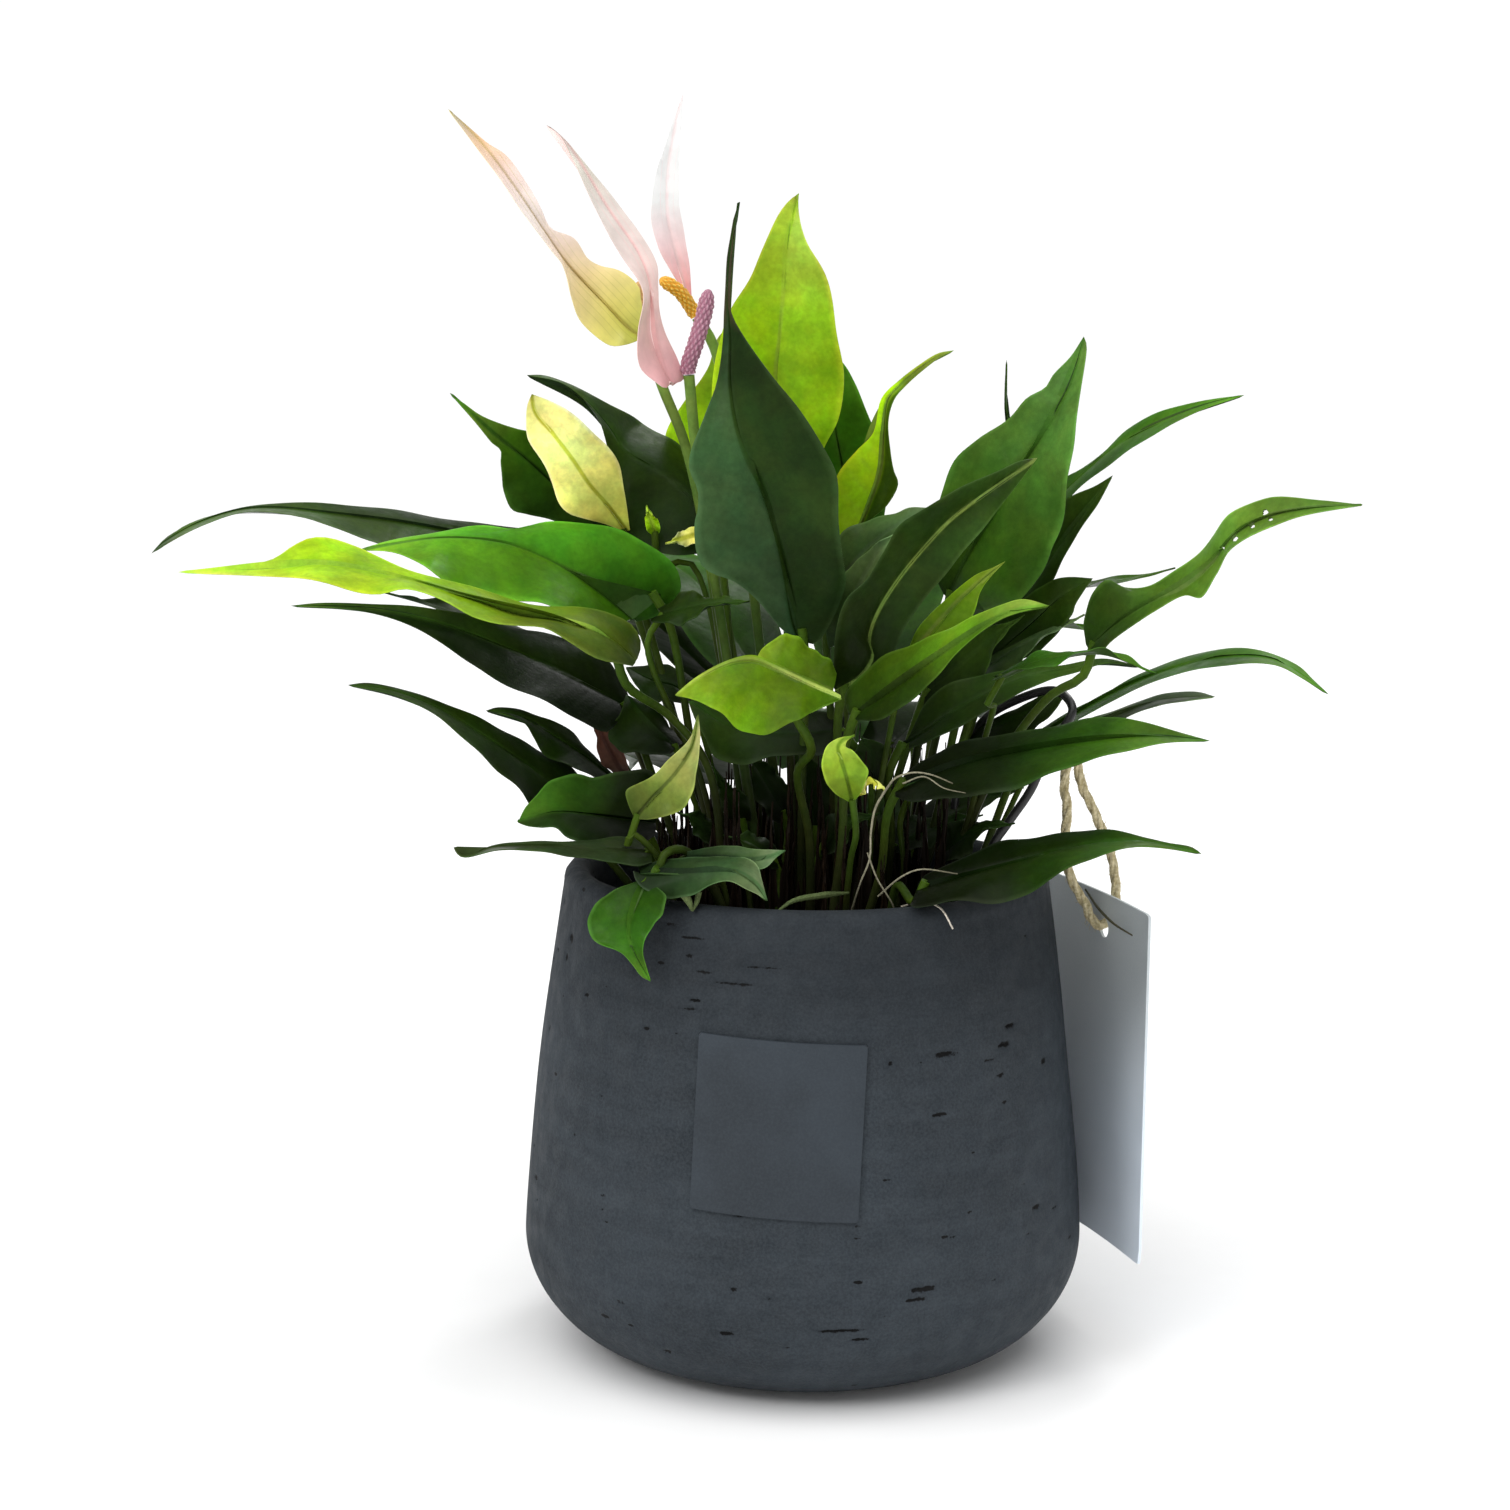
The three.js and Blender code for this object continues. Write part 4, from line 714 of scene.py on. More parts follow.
                 (-20.4, 275), (-19.6, 280), (-18.3, 283.2)],
             rightEdge=[(-1.5, 176.5), (1.4, 176), (5.8, 182.5), (8.9, 191.5), (8.3, 194.7), (6.7, 204.7),
                 (5.7, 217), (3, 223), (-3.9, 233.8), (-9.7, 241), (-18.3, 252.6), (-20.6, 257),
                 (-20.6, 262.5), (-20.3, 270), (-19.9, 275), (-19.2, 280), (-18.3, 283.2)]),
    ],
    "leaf_middle_2": [
        dict(rib=[(-6, 196, 12), (-9, 220, 14), (-8.5, 241, 12), (-7.5, 262, 8), (-4.7, 285, 0)], half=18,
             roll=(0, 10, 10), fold=16, drip=0.05, belly=0.45, hollow=0.75, foot=(-3, 5), tone="lime",
             rightLightAndShade=(1.08, 1.05, 1.9),
             rib2=[(-6, 197), (-8, 220), (-9.2, 241.5), (-8.2, 252), (-7.3, 265), (-6.9, 273), (-4, 285.4)],
             leftEdge=[(-7, 198), (-17, 207), (-23, 222), (-25, 238), (-23, 250), (-20.5, 257), (-15.4, 265),
                 (-12.8, 271.3), (-8.6, 280.7), (-6, 284), (-4, 285.4)],
             rightEdge=[(-5, 198), (-1, 210), (2.3, 223.7), (5.8, 231), (7, 241.8), (5.3, 252.3), (2.8, 265),
                 (-2, 273), (-3.6, 278), (-4.2, 283), (-4, 285.4)]),
    ],
    "leaf_middle_3": [
        dict(rib=[(12, 190, 30), (9, 212, 34), (5, 232, 33), (1, 250, 28)], half=13, roll=10, foot=(5, 14),
             tone="mid", leftLightAndShade=(1.2, 1.3, 1.2), rightLightAndShade=(1.2, 1.3, 1.2),
             rib2=[(12, 190), (9, 212), (5, 232), (1, 250)],
             leftEdge=[(11, 191), (3, 200), (-2, 215), (-4, 230), (-2, 243), (1, 250)],
             rightEdge=[(14, 191), (17, 205), (18, 215), (16.6, 223), (15, 228.6), (12.5, 234.8), (10, 240),
                 (7, 245), (1, 250)]),
        dict(rib=[(-2, 186, 50), (-5, 215, 64), (-6, 247, 82)], half=13, roll=0, sky=True, tone="mid"),
    ],
    "leaf_middle_4": [
        dict(rib=[(9, 198, 4), (11, 212, 2), (13.5, 228, 0), (21, 240.5, -3), (34.4, 248.3, -6)], half=12,
             roll=(0, 20, 40), fold=35, drip=0.25, foot=(6, 0), tone="bright", dryFrom=0.72, dry=0.6,
             leftLightAndShade=(4.4, 4.0, 1.2), rightLightAndShade=(0.35, 0.4, 0.5),
             rib2=[(9.5, 199), (14, 210), (17, 219), (17.6, 229), (18.6, 236.5), (22, 240.2), (26, 243.6),
                 (31, 247), (34.4, 248.3)],
             leftEdge=[(8, 198), (6.5, 205.3), (6, 216), (7.3, 219), (11, 223.8), (15, 228), (17, 236.3),
                 (21.3, 240.6), (25.5, 244), (30.7, 247.5), (34.4, 248.3)],
             rightEdge=[(10, 200), (13.5, 206), (18.4, 210.5), (20.8, 215.7), (19.8, 219), (19, 223.5),
                 (18.6, 231.5), (20, 236.5), (22.5, 239.6), (26, 243), (31, 246.8), (34.4, 248.3)]),
    ],
    "leaf_middle_5": [
        dict(rib=[(-2.5, 158, -40), (-12, 160, -44), (-24, 162, -47), (-33.3, 163, -50)], half=14, roll=-50,
             fold=0, drip=0.08, tone="bright", foot=(1, -18), rim=0.2, by=[(0.5, 128, -24), (-2.6, 144, -30)],
             ribTone="a4b858", rightLightAndShade=(1.4, 1.3, 1.8), ribEnd=0.45, leftLightAndShade=(0.85, 0.9, 0.6),
             rib2=[(8, 163), (1, 165.8), (-7.9, 169.8), (-13.6, 172.1), (-19.2, 171.5), (-28, 167),
                 (-33.3, 163)],
             leftEdge=[(7.5, 162.6), (3.4, 161.2), (-2.9, 157.5), (-11.7, 155.2), (-24.3, 160), (-30, 162.3),
                 (-33.3, 163)],
             rightEdge=[(8, 163.4), (1.5, 166.8), (-7.4, 170.9), (-13.4, 173), (-19.2, 172), (-28, 167.4),
                 (-33.3, 163)]),
        dict(rib=[(6, 164.5, -34), (1, 166.5, -34), (-6, 169.5, -35), (-13, 172.5, -37)], half=7, roll=-50,
             fold=0, tone="bright", stalk=False, dry=0, leftLightAndShade=(0.8, 0.8, 0.8),
             rib2=[(6, 164.5), (1, 166.5), (-6, 169.5), (-13, 172.5)],
             leftEdge=[(6, 164), (0, 165.8), (-7, 169), (-13, 172.3)],
             rightEdge=[(6.8, 168.8), (4.6, 173), (-0.4, 177), (-6.7, 177.7), (-11.7, 174.7), (-13, 172.5)]),
    ],
    "leaf_middle_6": [
        dict(rib=[(11.4, 137, -44), (9.5, 143, -47), (7.5, 149, -46), (10.5, 153.3, -43)], half=5.5, roll=10,
             fold=25, tone="lime", foot=(9, -33), by=[(11.1, 122.6, -40)],
             tones=(("5a7a1c", "7c9a28", "9cb048"), "5c7820", "7a9440"),
             rib2=[(11.2, 137), (10, 142), (8.5, 147), (7.5, 150.5), (9, 152.6), (11.6, 153.5)],
             leftEdge=[(10.5, 137), (7.5, 138.8), (5, 141.8), (3.6, 145.5), (4, 149), (5.5, 151.2),
                 (8.5, 152.8), (11.6, 153.5)],
             rightEdge=[(11.5, 137), (13.2, 139.5), (14.8, 144), (13.5, 146.6), (11, 149.5), (9.2, 150.5),
                 (9.4, 152), (11.6, 153.5)]),
        dict(rib=[(13, 138.5, -44), (14.6, 140.8, -45), (16.8, 141.8, -46), (19.4, 139.8, -46)], half=1.1,
             roll=-70, tone="cream", stalk=False, dry=0, drip=0.4),
    ],
    "leaf_middle_7": [
        dict(rib=[(6, 190, -7), (14, 200, -8), (24, 207, -9), (36, 211, -10)], half=8, roll=40, foot=(6, -8),
             tone="grey"),
        dict(rib=[(8, 176, -12), (11, 188, -14), (17, 199, -15), (24, 206, -15)], half=7, roll=30,
             tone="grey"),
    ],
    "leaf_right_1": [
        dict(rib=[(34, 188, 8), (39.5, 200, 4), (46, 213, 0), (55.5, 228, -2), (66, 252, 2)], half=19,
             roll=40, fold=15, drip=0.06, belly=0.48, lobe=0.1, foot=(20, 8), tone="dark",
             tones=(("1c300a", "325410", "3e641e", "48702a", "547c32"), "385c1c", "2c4020"),
             rib2=[(34, 188), (39.5, 200), (45, 209), (49, 217.7), (53.6, 224), (60.4, 234.8), (63.8, 243),
                 (66, 252)],
             leftEdge=[(33, 189), (29, 196), (29.5, 205), (30.9, 211), (32, 214.8), (33.8, 222.7),
                 (39.4, 227.5), (48.4, 233.3), (52.6, 236.8), (57.3, 239.6), (58.8, 242.3), (63, 247),
                 (66, 252)],
             rightEdge=[(35, 187), (43, 185), (50, 187), (54.5, 194), (57.6, 201), (59.6, 205.3), (62, 214.8),
                 (63.9, 226.5), (65, 237.7), (66.7, 249.8), (66, 252)]),
    ],
    "leaf_right_2": [
        dict(rib=[(8, 165, -20), (15.3, 180, -23), (22.5, 193.5, -25), (34.6, 207.4, -27), (46, 216.5, -26),
             (55.4, 222.5, -22)], half=14, roll=-20, fold=35, drip=0.1, foot=(7, -15), tone="dark",
             ribTone="7c9448", tones=(("141f06", "1f300c", "283f12", "304a14"), "2c4414", "2c4020"),
             rib2=[(7, 164.5), (13, 168.6), (15.8, 173.6), (14.8, 176.8), (15.5, 181), (18, 186.5),
                 (22.2, 193), (28, 200.3), (34.6, 207.4), (44, 214.5), (55.4, 222.5)],
             leftEdge=[(6.5, 165), (6.5, 172), (7, 180), (9.5, 187.7), (14.5, 192), (18.5, 198.5),
                 (22, 204.5), (26.2, 207.8), (35.7, 214.4), (46.3, 219.3), (51, 221.6), (55.4, 222.5)],
             rightEdge=[(8, 164), (18, 168), (24, 180), (30, 189), (37, 199), (46, 210), (55.4, 222.5)]),
    ],
    "leaf_right_3": [
        dict(rib=[(46, 178, 18), (55, 192, 17), (63, 205, 15), (74, 218.5, 10)], half=9, roll=40,
             foot=(27, 6), tone="dark",
             rib2=[(46, 178), (54, 190), (63, 203.5), (74, 218.5)],
             leftEdge=[(45, 180), (47, 190), (53, 203), (60.9, 211), (69.7, 215.6), (74, 218.5)],
             rightEdge=[(48, 178), (54, 183), (58.9, 192), (62.1, 198), (67.7, 207.5), (70.8, 212.3),
                 (74, 218.5)]),
    ],
    "leaf_right_4": [
        dict(rib=[(50, 200, 36), (62, 213, 34), (74, 225, 28), (86, 231.5, 20), (105.6, 238.3, 10)], half=8,
             roll=66, drip=0.25, foot=(26, 21), tone="mid", by=[(38, 150, 31)],
             rib2=[(50, 200), (58, 210), (66, 218), (74, 225), (84, 231), (96, 235.8), (105.6, 238.3)],
             leftEdge=[(49, 202), (55, 211), (62.9, 217.8), (65.8, 219.5), (72, 224.4), (77.2, 230),
                 (84, 233.4), (97, 236.9), (105.6, 238.3)],
             rightEdge=[(51, 199), (57, 205), (61.5, 211), (66, 216), (75.3, 223), (85, 229), (94.5, 234.4),
                 (105.6, 238.3)]),
    ],
    "leaf_right_5": [
        dict(rib=[(69, 176, -20), (78, 184.5, -26), (89, 191.5, -31), (98, 198, -35), (106, 206.5, -40),
             (118, 210.5, -44), (135.5, 212, -48)], half=10, roll=55, drip=0.18, belly=0.2, wave=1.8,
             holes=[(111.8, 209.8, 0.7), (113.1, 208.2, 0.6), (108.7, 206.5, 0.7), (104.4, 203.4, 0.9),
             (101.6, 201, 0.6)], foot=(33, -7), tone="mid", rim=0.8,
             tones=(("1e300c", "3e5e16", "5e862a", "4a6c22"), "55782c", "486028"), by=[(45, 142, -13),
             (60, 164, -20)],
             rib2=[(69, 176), (75, 181.5), (84, 187.5), (92.5, 191.4), (99.4, 197.5), (104, 204),
                 (112, 208.8), (122, 211), (135.5, 212)],
             leftEdge=[(68.5, 177), (67.3, 183), (69.2, 189), (74, 192), (78.2, 190.4), (84, 191.4),
                 (90.2, 196), (97.8, 204), (102.8, 210), (111.8, 212.7), (125.5, 212.7), (135.5, 212)],
             rightEdge=[(70, 175), (72, 175), (74.5, 177.7), (84.8, 185.5), (92.2, 189.7), (95.9, 189.6),
                 (100, 195), (103, 200.2), (108.8, 203.8), (120, 209), (135.5, 212)]),
        dict(rib=[(47, 168.5, -29), (57, 172.5, -31), (72, 175, -35), (86, 169.9, -38)], half=5, roll=80,
             tone="mid", by=[(42, 140, -14), (44, 153, -21), (46, 162, -26)]),
    ],
    "leaf_right_6": [
        dict(rib=[(52, 150, 12), (64, 159, 10), (80, 168, 6), (101, 174.5, 0), (116, 173.5, -6),
             (129, 165.2, -12)], half=10, roll=77, drip=0.2, foot=(38, 3), tone="mid",
             rib2=[(54.5, 152), (66, 159.5), (80, 167.3), (92, 171.8), (103, 174.2), (115, 173.6),
                 (129, 165.2)],
             leftEdge=[(54, 153), (63, 159), (73, 164.3), (82.4, 170), (91.3, 173.8), (101.8, 176.3),
                 (112.4, 175.5), (121.2, 172), (124.7, 169), (129, 165.2)],
             rightEdge=[(55, 151), (69, 159.5), (74.7, 163), (87.2, 168.8), (101.9, 171.8), (115.6, 172.4),
                 (122, 169.5), (129, 165.2)]),
        dict(rib=[(56, 150, 16), (70, 157.5, 13), (84, 162.5, 10), (100.9, 164.3, 4)], half=6, roll=80,
             tone="grey",
             rib2=[(56.5, 150.2), (67, 155.3), (78, 160), (87, 163.2), (100.9, 164.3)],
             leftEdge=[(56, 151), (66, 156.6), (77.4, 161.2), (86.2, 164.3), (96.6, 165.3), (100.9, 164.3)],
             rightEdge=[(57, 149.5), (68, 154), (78, 158.5), (87, 161.8), (96, 163.6), (100.9, 164.3)]),
    ],
    "leaf_right_7": [
        dict(rib=[(22, 142, -30), (38, 148, -36), (56, 152, -42), (76, 154.5, -47), (100, 153.3, -52)],
             half=15, roll=60, drip=0.14, foot=(14, -20), tone="mid",
             tones=(("0a0f03", "14210a", "2c500d", "50761c"), "24400e", "22381a"), leftLightAndShade=(0.8, 0.8, 0.8),
             rib2=[(22, 140), (36, 146), (52, 150), (68, 152.8), (84, 154.3), (100, 153.3)],
             leftEdge=[(22, 141), (26, 146), (34, 150.5), (45, 154), (55.3, 156.4), (59.5, 157.6), (66, 159),
                 (76.7, 158.9), (82, 157.6), (89, 156), (100, 153.3)],
             rightEdge=[(22, 138.5), (26.2, 137.5), (34.2, 138.9), (50.3, 142.6), (61, 145.6), (71.6, 148.3),
                 (87.6, 152.6), (100, 153.3)]),
    ],
    "leaf_right_8": [
        dict(rib=[(28, 116.5, -44), (42, 120, -48), (60, 124.5, -50), (80, 128, -50), (98.8, 124.9, -48)],
             half=13, roll=53, drip=0.16, lobe=0.1, foot=(20, -30), tone="mid",
             tones=(("080c03", "121e06", "2a480e", "4a6c1c"), "24400e", "22381a"), by=[(23, 116, -38)],
             leftLightAndShade=(0.6, 0.6, 0.6),
             rib2=[(28, 115), (42, 119.3), (56, 123.4), (70, 127), (84, 127.8), (98.8, 124.9)],
             leftEdge=[(28, 116), (29.5, 118.5), (38, 122.5), (48.7, 127.4), (52.5, 128.3), (63.3, 130.4),
                 (74, 130.8), (84.9, 128.5), (90.3, 127.4), (96.3, 126.5), (98.8, 124.9)],
             rightEdge=[(27.5, 114), (26, 111.2), (30.4, 111.4), (39.5, 113.5), (50.2, 114.2), (60.9, 118.8),
                 (71.6, 123.3), (82.3, 126.6), (92, 126), (98.8, 124.9)]),
    ],
    "leaf_right_9": [
        dict(rib=[(11, 159, -34), (20, 166.5, -40), (32, 175, -45), (45, 183, -48), (59.3, 186.3, -50)],
             half=13, roll=53, fold=0, drip=0.14, foot=(6, -24), tone="bright",
             tones=(("1a2a06", "36520c", "5e8818", "98b446"), "4c6c1c", "3c5818"),
             rightLightAndShade=(0.6, 0.62, 0.6),
             rib2=[(11, 158.5), (20, 164.5), (30, 172), (40, 179), (49, 184.3), (59.3, 186.3)],
             leftEdge=[(10, 158.5), (8.2, 163.3), (12.4, 168.2), (20.4, 174.7), (28.2, 178.8), (40.4, 183.3),
                 (47.3, 186), (53, 187.6), (59.3, 186.3)],
             rightEdge=[(12, 157.5), (18, 158), (24, 162.5), (30, 168), (36, 174), (42, 179.5), (48, 183.5),
                 (54, 185.4), (59.3, 186.3)]),
    ],
    "leaf_right_10": [
        dict(rib=[(29, 165, 5), (37, 171, 2), (45, 178, -2), (53.1, 184, -6)], half=9, roll=30, foot=(12, 5),
             tone="dark"),
    ],
    "leaf_right_11": [
        dict(rib=[(24, 172, -16), (33, 182, -18), (41, 190, -18), (48.2, 197.2, -16)], half=7, roll=10,
             foot=(11, -13), tone="bright",
             rib2=[(24.5, 172.5), (31, 181), (39, 189.5), (48.2, 197.2)],
             leftEdge=[(24, 173), (27, 180), (33.3, 187), (40.7, 193.2), (45, 195.3), (48.2, 197.2)],
             rightEdge=[(25, 172), (33, 175), (40.4, 184.4), (41.9, 189.7), (44, 193), (48.2, 197.2)]),
    ],
    "leaf_right_12": [
        dict(rib=[(44, 172, 10), (54, 181, 8), (63, 189, 5), (69.8, 193.2, 2)], half=8, roll=20, foot=(26, 2),
             tone="dark",
             rib2=[(44, 172.5), (54, 181), (62, 188.5), (69.8, 193.2)],
             leftEdge=[(43, 173), (48, 184), (59.3, 192), (64, 193.2), (69.8, 193.2)],
             rightEdge=[(45, 172), (54, 174), (64.5, 183.7), (65.6, 187), (67.4, 190), (69.8, 193.2)]),
        dict(rib=[(40, 168, 9), (52, 176, 6), (68, 184.3, 1)], half=8, roll=60, tone="grey"),
    ],
    "leaf_right_13": [
        dict(rib=[(22, 151, -11), (36, 160, -12), (54, 168.5, -13), (70, 172, -13), (82.2, 171.4, -13)],
             half=10, roll=50, foot=(19, 1), tone="dark",
             rib2=[(25.5, 152.5), (37, 160.5), (52, 168), (64, 170.7), (73.6, 172.8), (82.2, 171.4)],
             leftEdge=[(25, 153), (30, 163), (42, 169), (54, 171), (62, 171.3), (73.6, 173.2), (82.2, 171.4)],
             rightEdge=[(25, 150.5), (33, 154), (44.3, 161), (49.6, 163.7), (54.9, 166), (60.2, 168.2),
                 (65.4, 169.7), (73.6, 172.5), (82.2, 171.4)]),
    ],
    "leaf_right_14": [
        dict(rib=[(40, 194, 31), (43.5, 208, 36), (48, 224, 36), (47.5, 236, 32), (47.3, 246, 28)], half=8,
             roll=0, drip=0.35, neck=0.04, foot=(24, 12), tone="dark", dryFrom=0.7, dry=0.85),
    ],
    "leaf_back_1": [
        dict(rib=[(-13.4, 169.5, 43), (-32.5, 194.3, 70), (-58.4, 196.2, 110)], half=17, roll=0, sky=True,
             foot=(-10, 22), tone="mid"),
        dict(rib=[(-22, 166, 46), (-44, 184, 64), (-72, 191, 96)], half=13, roll=0, sky=True, tone="dark"),
    ],
    "leaf_back_2": [
        dict(rib=[(13, 172, 40), (19, 198, 72), (24, 200, 120)], half=18, roll=0, sky=True, foot=(5, 23),
             tone="mid"),
    ],
    "leaf_back_3": [
        dict(rib=[(33, 172, 42), (52, 188, 65), (76, 192.5, 87), (90, 196, 98)], half=12.6, roll=0, sky=True,
             foot=(25, 17), tone="dark"),
        dict(rib=[(28, 164, 46), (48, 181, 58), (76.9, 180, 80)], half=12, roll=0, sky=True, tone="mid"),
    ],
    "leaf_back_4": [
        dict(rib=[(0, 146.4, 44), (3.7, 160, 74), (8.8, 149.6, 116)], half=14, roll=0, sky=True,
             foot=(-2, 31), tone="mid"),
        dict(rib=[(-22, 142, 38), (-41, 149.4, 64), (-44.5, 144, 102)], half=13, roll=0, sky=True,
             tone="dark"),
    ],
    "inner_leaves": [
        dict(rib=[(-29, 162, 4), (-33, 165, 6), (-39, 166.5, 8), (-45.5, 169.6, 10)], half=5, roll=-60,
             tone="deep", foot=(-14, 4),
             rib2=[(-29, 162), (-34, 165.5), (-39, 166.5), (-45.5, 169.6)],
             leftEdge=[(-30, 161), (-34, 161.3), (-38.5, 161.9), (-43, 165.3), (-45.5, 169.5)],
             rightEdge=[(-29, 163), (-28.5, 167), (-32, 169.7), (-39, 170.2), (-45.5, 169.8)]),
        dict(rib=[(-33, 150.5, 0), (-37, 154, 2), (-41, 158, 4), (-45.5, 163, 6)], half=5, roll=-60,
             tone="deep", foot=(-17, 2),
             rib2=[(-33, 150), (-38, 154), (-42, 158), (-45.5, 163)],
             leftEdge=[(-34, 148.5), (-42, 148), (-47, 150.5), (-49.3, 154.5), (-47, 158), (-45.5, 163)],
             rightEdge=[(-31.5, 151), (-33.5, 153.5), (-36, 158), (-40, 160.2), (-45.5, 163)]),
        dict(rib=[(9, 155, -10), (-4, 154, -12), (-18, 154.5, -14), (-30, 161.5, -16)], half=8, roll=-50,
             tone="deep", foot=(6, -8),
             rib2=[(9, 155), (-4, 154), (-18, 155), (-30, 161.5)],
             leftEdge=[(9, 152), (2, 148.5), (-8, 148.5), (-19.7, 147.2), (-24.5, 149.3), (-27.6, 155.5),
                 (-30, 161.5)],
             rightEdge=[(9, 158), (0, 160), (-12, 161), (-24, 162.5), (-30, 161.5)]),
        dict(rib=[(16, 142.5, -12), (16, 146, -12), (15.5, 149, -12), (13, 153, -12)], half=4, roll=0,
             tone="deep", foot=(15, -12),
             rib2=[(17, 142), (16.5, 146), (16, 149), (13.3, 153)],
             leftEdge=[(15.5, 142), (13.5, 145), (12, 149), (13.3, 153)],
             rightEdge=[(18.5, 142), (19.3, 146), (19, 150.7), (13.3, 153)]),
        dict(rib=[(40, 152, 14), (48, 157.5, 12), (56, 161, 10), (64, 165, 8)], half=6, roll=50, tone="deep",
             foot=(24, 10),
             rib2=[(40, 152), (48, 157), (56, 160.5), (64, 165)],
             leftEdge=[(40, 154), (45, 157.2), (52, 161), (58, 163.7), (64, 165.2)],
             rightEdge=[(41, 150), (50, 153.5), (56, 155.5), (60, 159), (64, 165)]),
        dict(rib=[(-16, 132, -6), (-20, 139, -10), (-24, 146, -12)], half=3.5, roll=20, tone="deep",
             foot=(-13, -12)),
        dict(rib=[(-6, 134, 4), (-11, 142, 2), (-16, 150, -1)], half=6, roll=-40, tone="deep", foot=(-7, 2)),
        dict(rib=[(2, 130, 10), (0, 142, 14), (-4, 154, 16)], half=8, roll=20, tone="deep", foot=(1, 8)),
        dict(rib=[(8, 128, 18), (16, 136, 22), (26, 142, 24)], half=7, roll=40, tone="deep", foot=(9, 14)),
        dict(rib=[(22, 126, 2), (32, 131, 4), (44, 134, 6)], half=6, roll=50, tone="deep", foot=(22, 1)),
        dict(rib=[(28, 128, 14), (40, 136, 18), (54, 141, 20)], half=8, roll=50, tone="deep", foot=(28, 12)),
        dict(rib=[(26, 140, -6), (38, 146, -8), (52, 149.5, -10)], half=6, roll=60, tone="deep",
             foot=(22, -8)),
        dict(rib=[(4, 126, -14), (10, 131, -18), (18, 134, -20)], half=5, roll=40, tone="deep",
             foot=(5, -15)),
        dict(rib=[(-8, 122, -20), (-14, 126, -24), (-21, 128, -26)], half=4.5, roll=-50, tone="deep",
             foot=(-7, -20)),
        dict(rib=[(-22, 126, -10), (-27, 131, -13), (-33, 134, -16)], half=4, roll=-40, tone="deep",
             foot=(-21, -12)),
        dict(rib=[(16, 124, 28), (22, 134, 34), (30, 140, 38)], half=8, roll=30, tone="deep", foot=(15, 26)),
        dict(rib=[(-4, 126, 26), (-10, 136, 32), (-18, 142, 36)], half=8, roll=-30, tone="deep",
             foot=(-5, 26)),
        dict(rib=[(34, 124, -10), (42, 130, -13), (52, 132, -16)], half=5.5, roll=50, tone="deep",
             foot=(31, -12)),
    ],
    "leaf_back_5": [
        dict(rib=[(20, 151, 56), (34, 161.4, 80), (50, 155, 110)], half=14, roll=0, sky=True, foot=(12, 30),
             tone="dark"),
    ],
}


sheathMake = dict(
    count=2,  # to a stalk
    length=(26, 52),
    half=(1.6, 2.8),
    farthest=46,  # mm from the pot's middle, inside the grow pot's wall
    tones=(("0c0906", "17110b", "2c2414"), "171009", "17110b"),
)


def sheaths(foot):
    # Dry scales that stand at a stalk's foot. Rib = the stalk's first stretch, leaning away from it
    made = []
    for _ in range(sheathMake["count"]):
        angle = chance.uniform(0, 2 * np.pi)
        out = np.array([math.cos(angle), math.sin(angle), 0])
        tall = chance.uniform(*sheathMake["length"])
        lean = out * chance.uniform(0.5, 4)
        spots = np.array([foot + out * 0.9 - [0, 0, 3],
                          foot + out * 1.5 + lean * 0.2 + [0, 0, tall * 0.4],
                          foot + out * 1.6 + lean * 0.6 + [0, 0, tall * 0.75],
                          foot + out + lean + [0, 0, tall]])
        away = np.linalg.norm(spots[:, :2], axis=1, keepdims=True)
        spots[:, :2] *= np.minimum(1, sheathMake["farthest"] / away)
        half = chance.uniform(*sheathMake["half"])
        scale = dict(rib=measured(spots), half=half, roll=chance.uniform(-50, 50), fold=30, drip=0.3,
                     wave=0.3, lobe=0, thickness=0.35, rim=0.2, dry=0)
        made.append(blade(scale, sheathMake["tones"], rows=16, columns=7))
    return made


def makeShoot(nodeName, leaves, material):
    foot = np.array([*leaves[0]["foot"], soilTop])
    parts, tones, veinTones, places = [], [], [], []
    for leaf in leaves:
        if "foot" in leaf:
            foot = np.array([*leaf["foot"], soilTop])
        radii = stalkRadius["thin" if leaf["half"] < 8 else "leaf"]
        grid = deepGrid if leaf["tone"] == "deep" else {}
        if "holes" in leaf:
            grid = holedGrid
        made = [blade(leaf, leafTones[leaf["tone"]], **grid)]
        if leaf.get("stalk", True):
            made += [stalk(leaf, foot, radii), *sheaths(foot)]
        for points, faces, tone, veinTone, place in made:
            parts.append((points, faces))
            tones.append(tone)
            veinTones.append(veinTone)
            places.append(place)
    points, faces = joined(parts)
    colours = dict(tone=np.concatenate(tones), veinTone=np.concatenate(veinTones))
    stands = [nodeName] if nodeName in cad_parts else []
    newPiece(nodeName.replace("leaf_", "leafShoot_"), points, faces, material,
             stands, colours, np.concatenate(places))


# Blooms

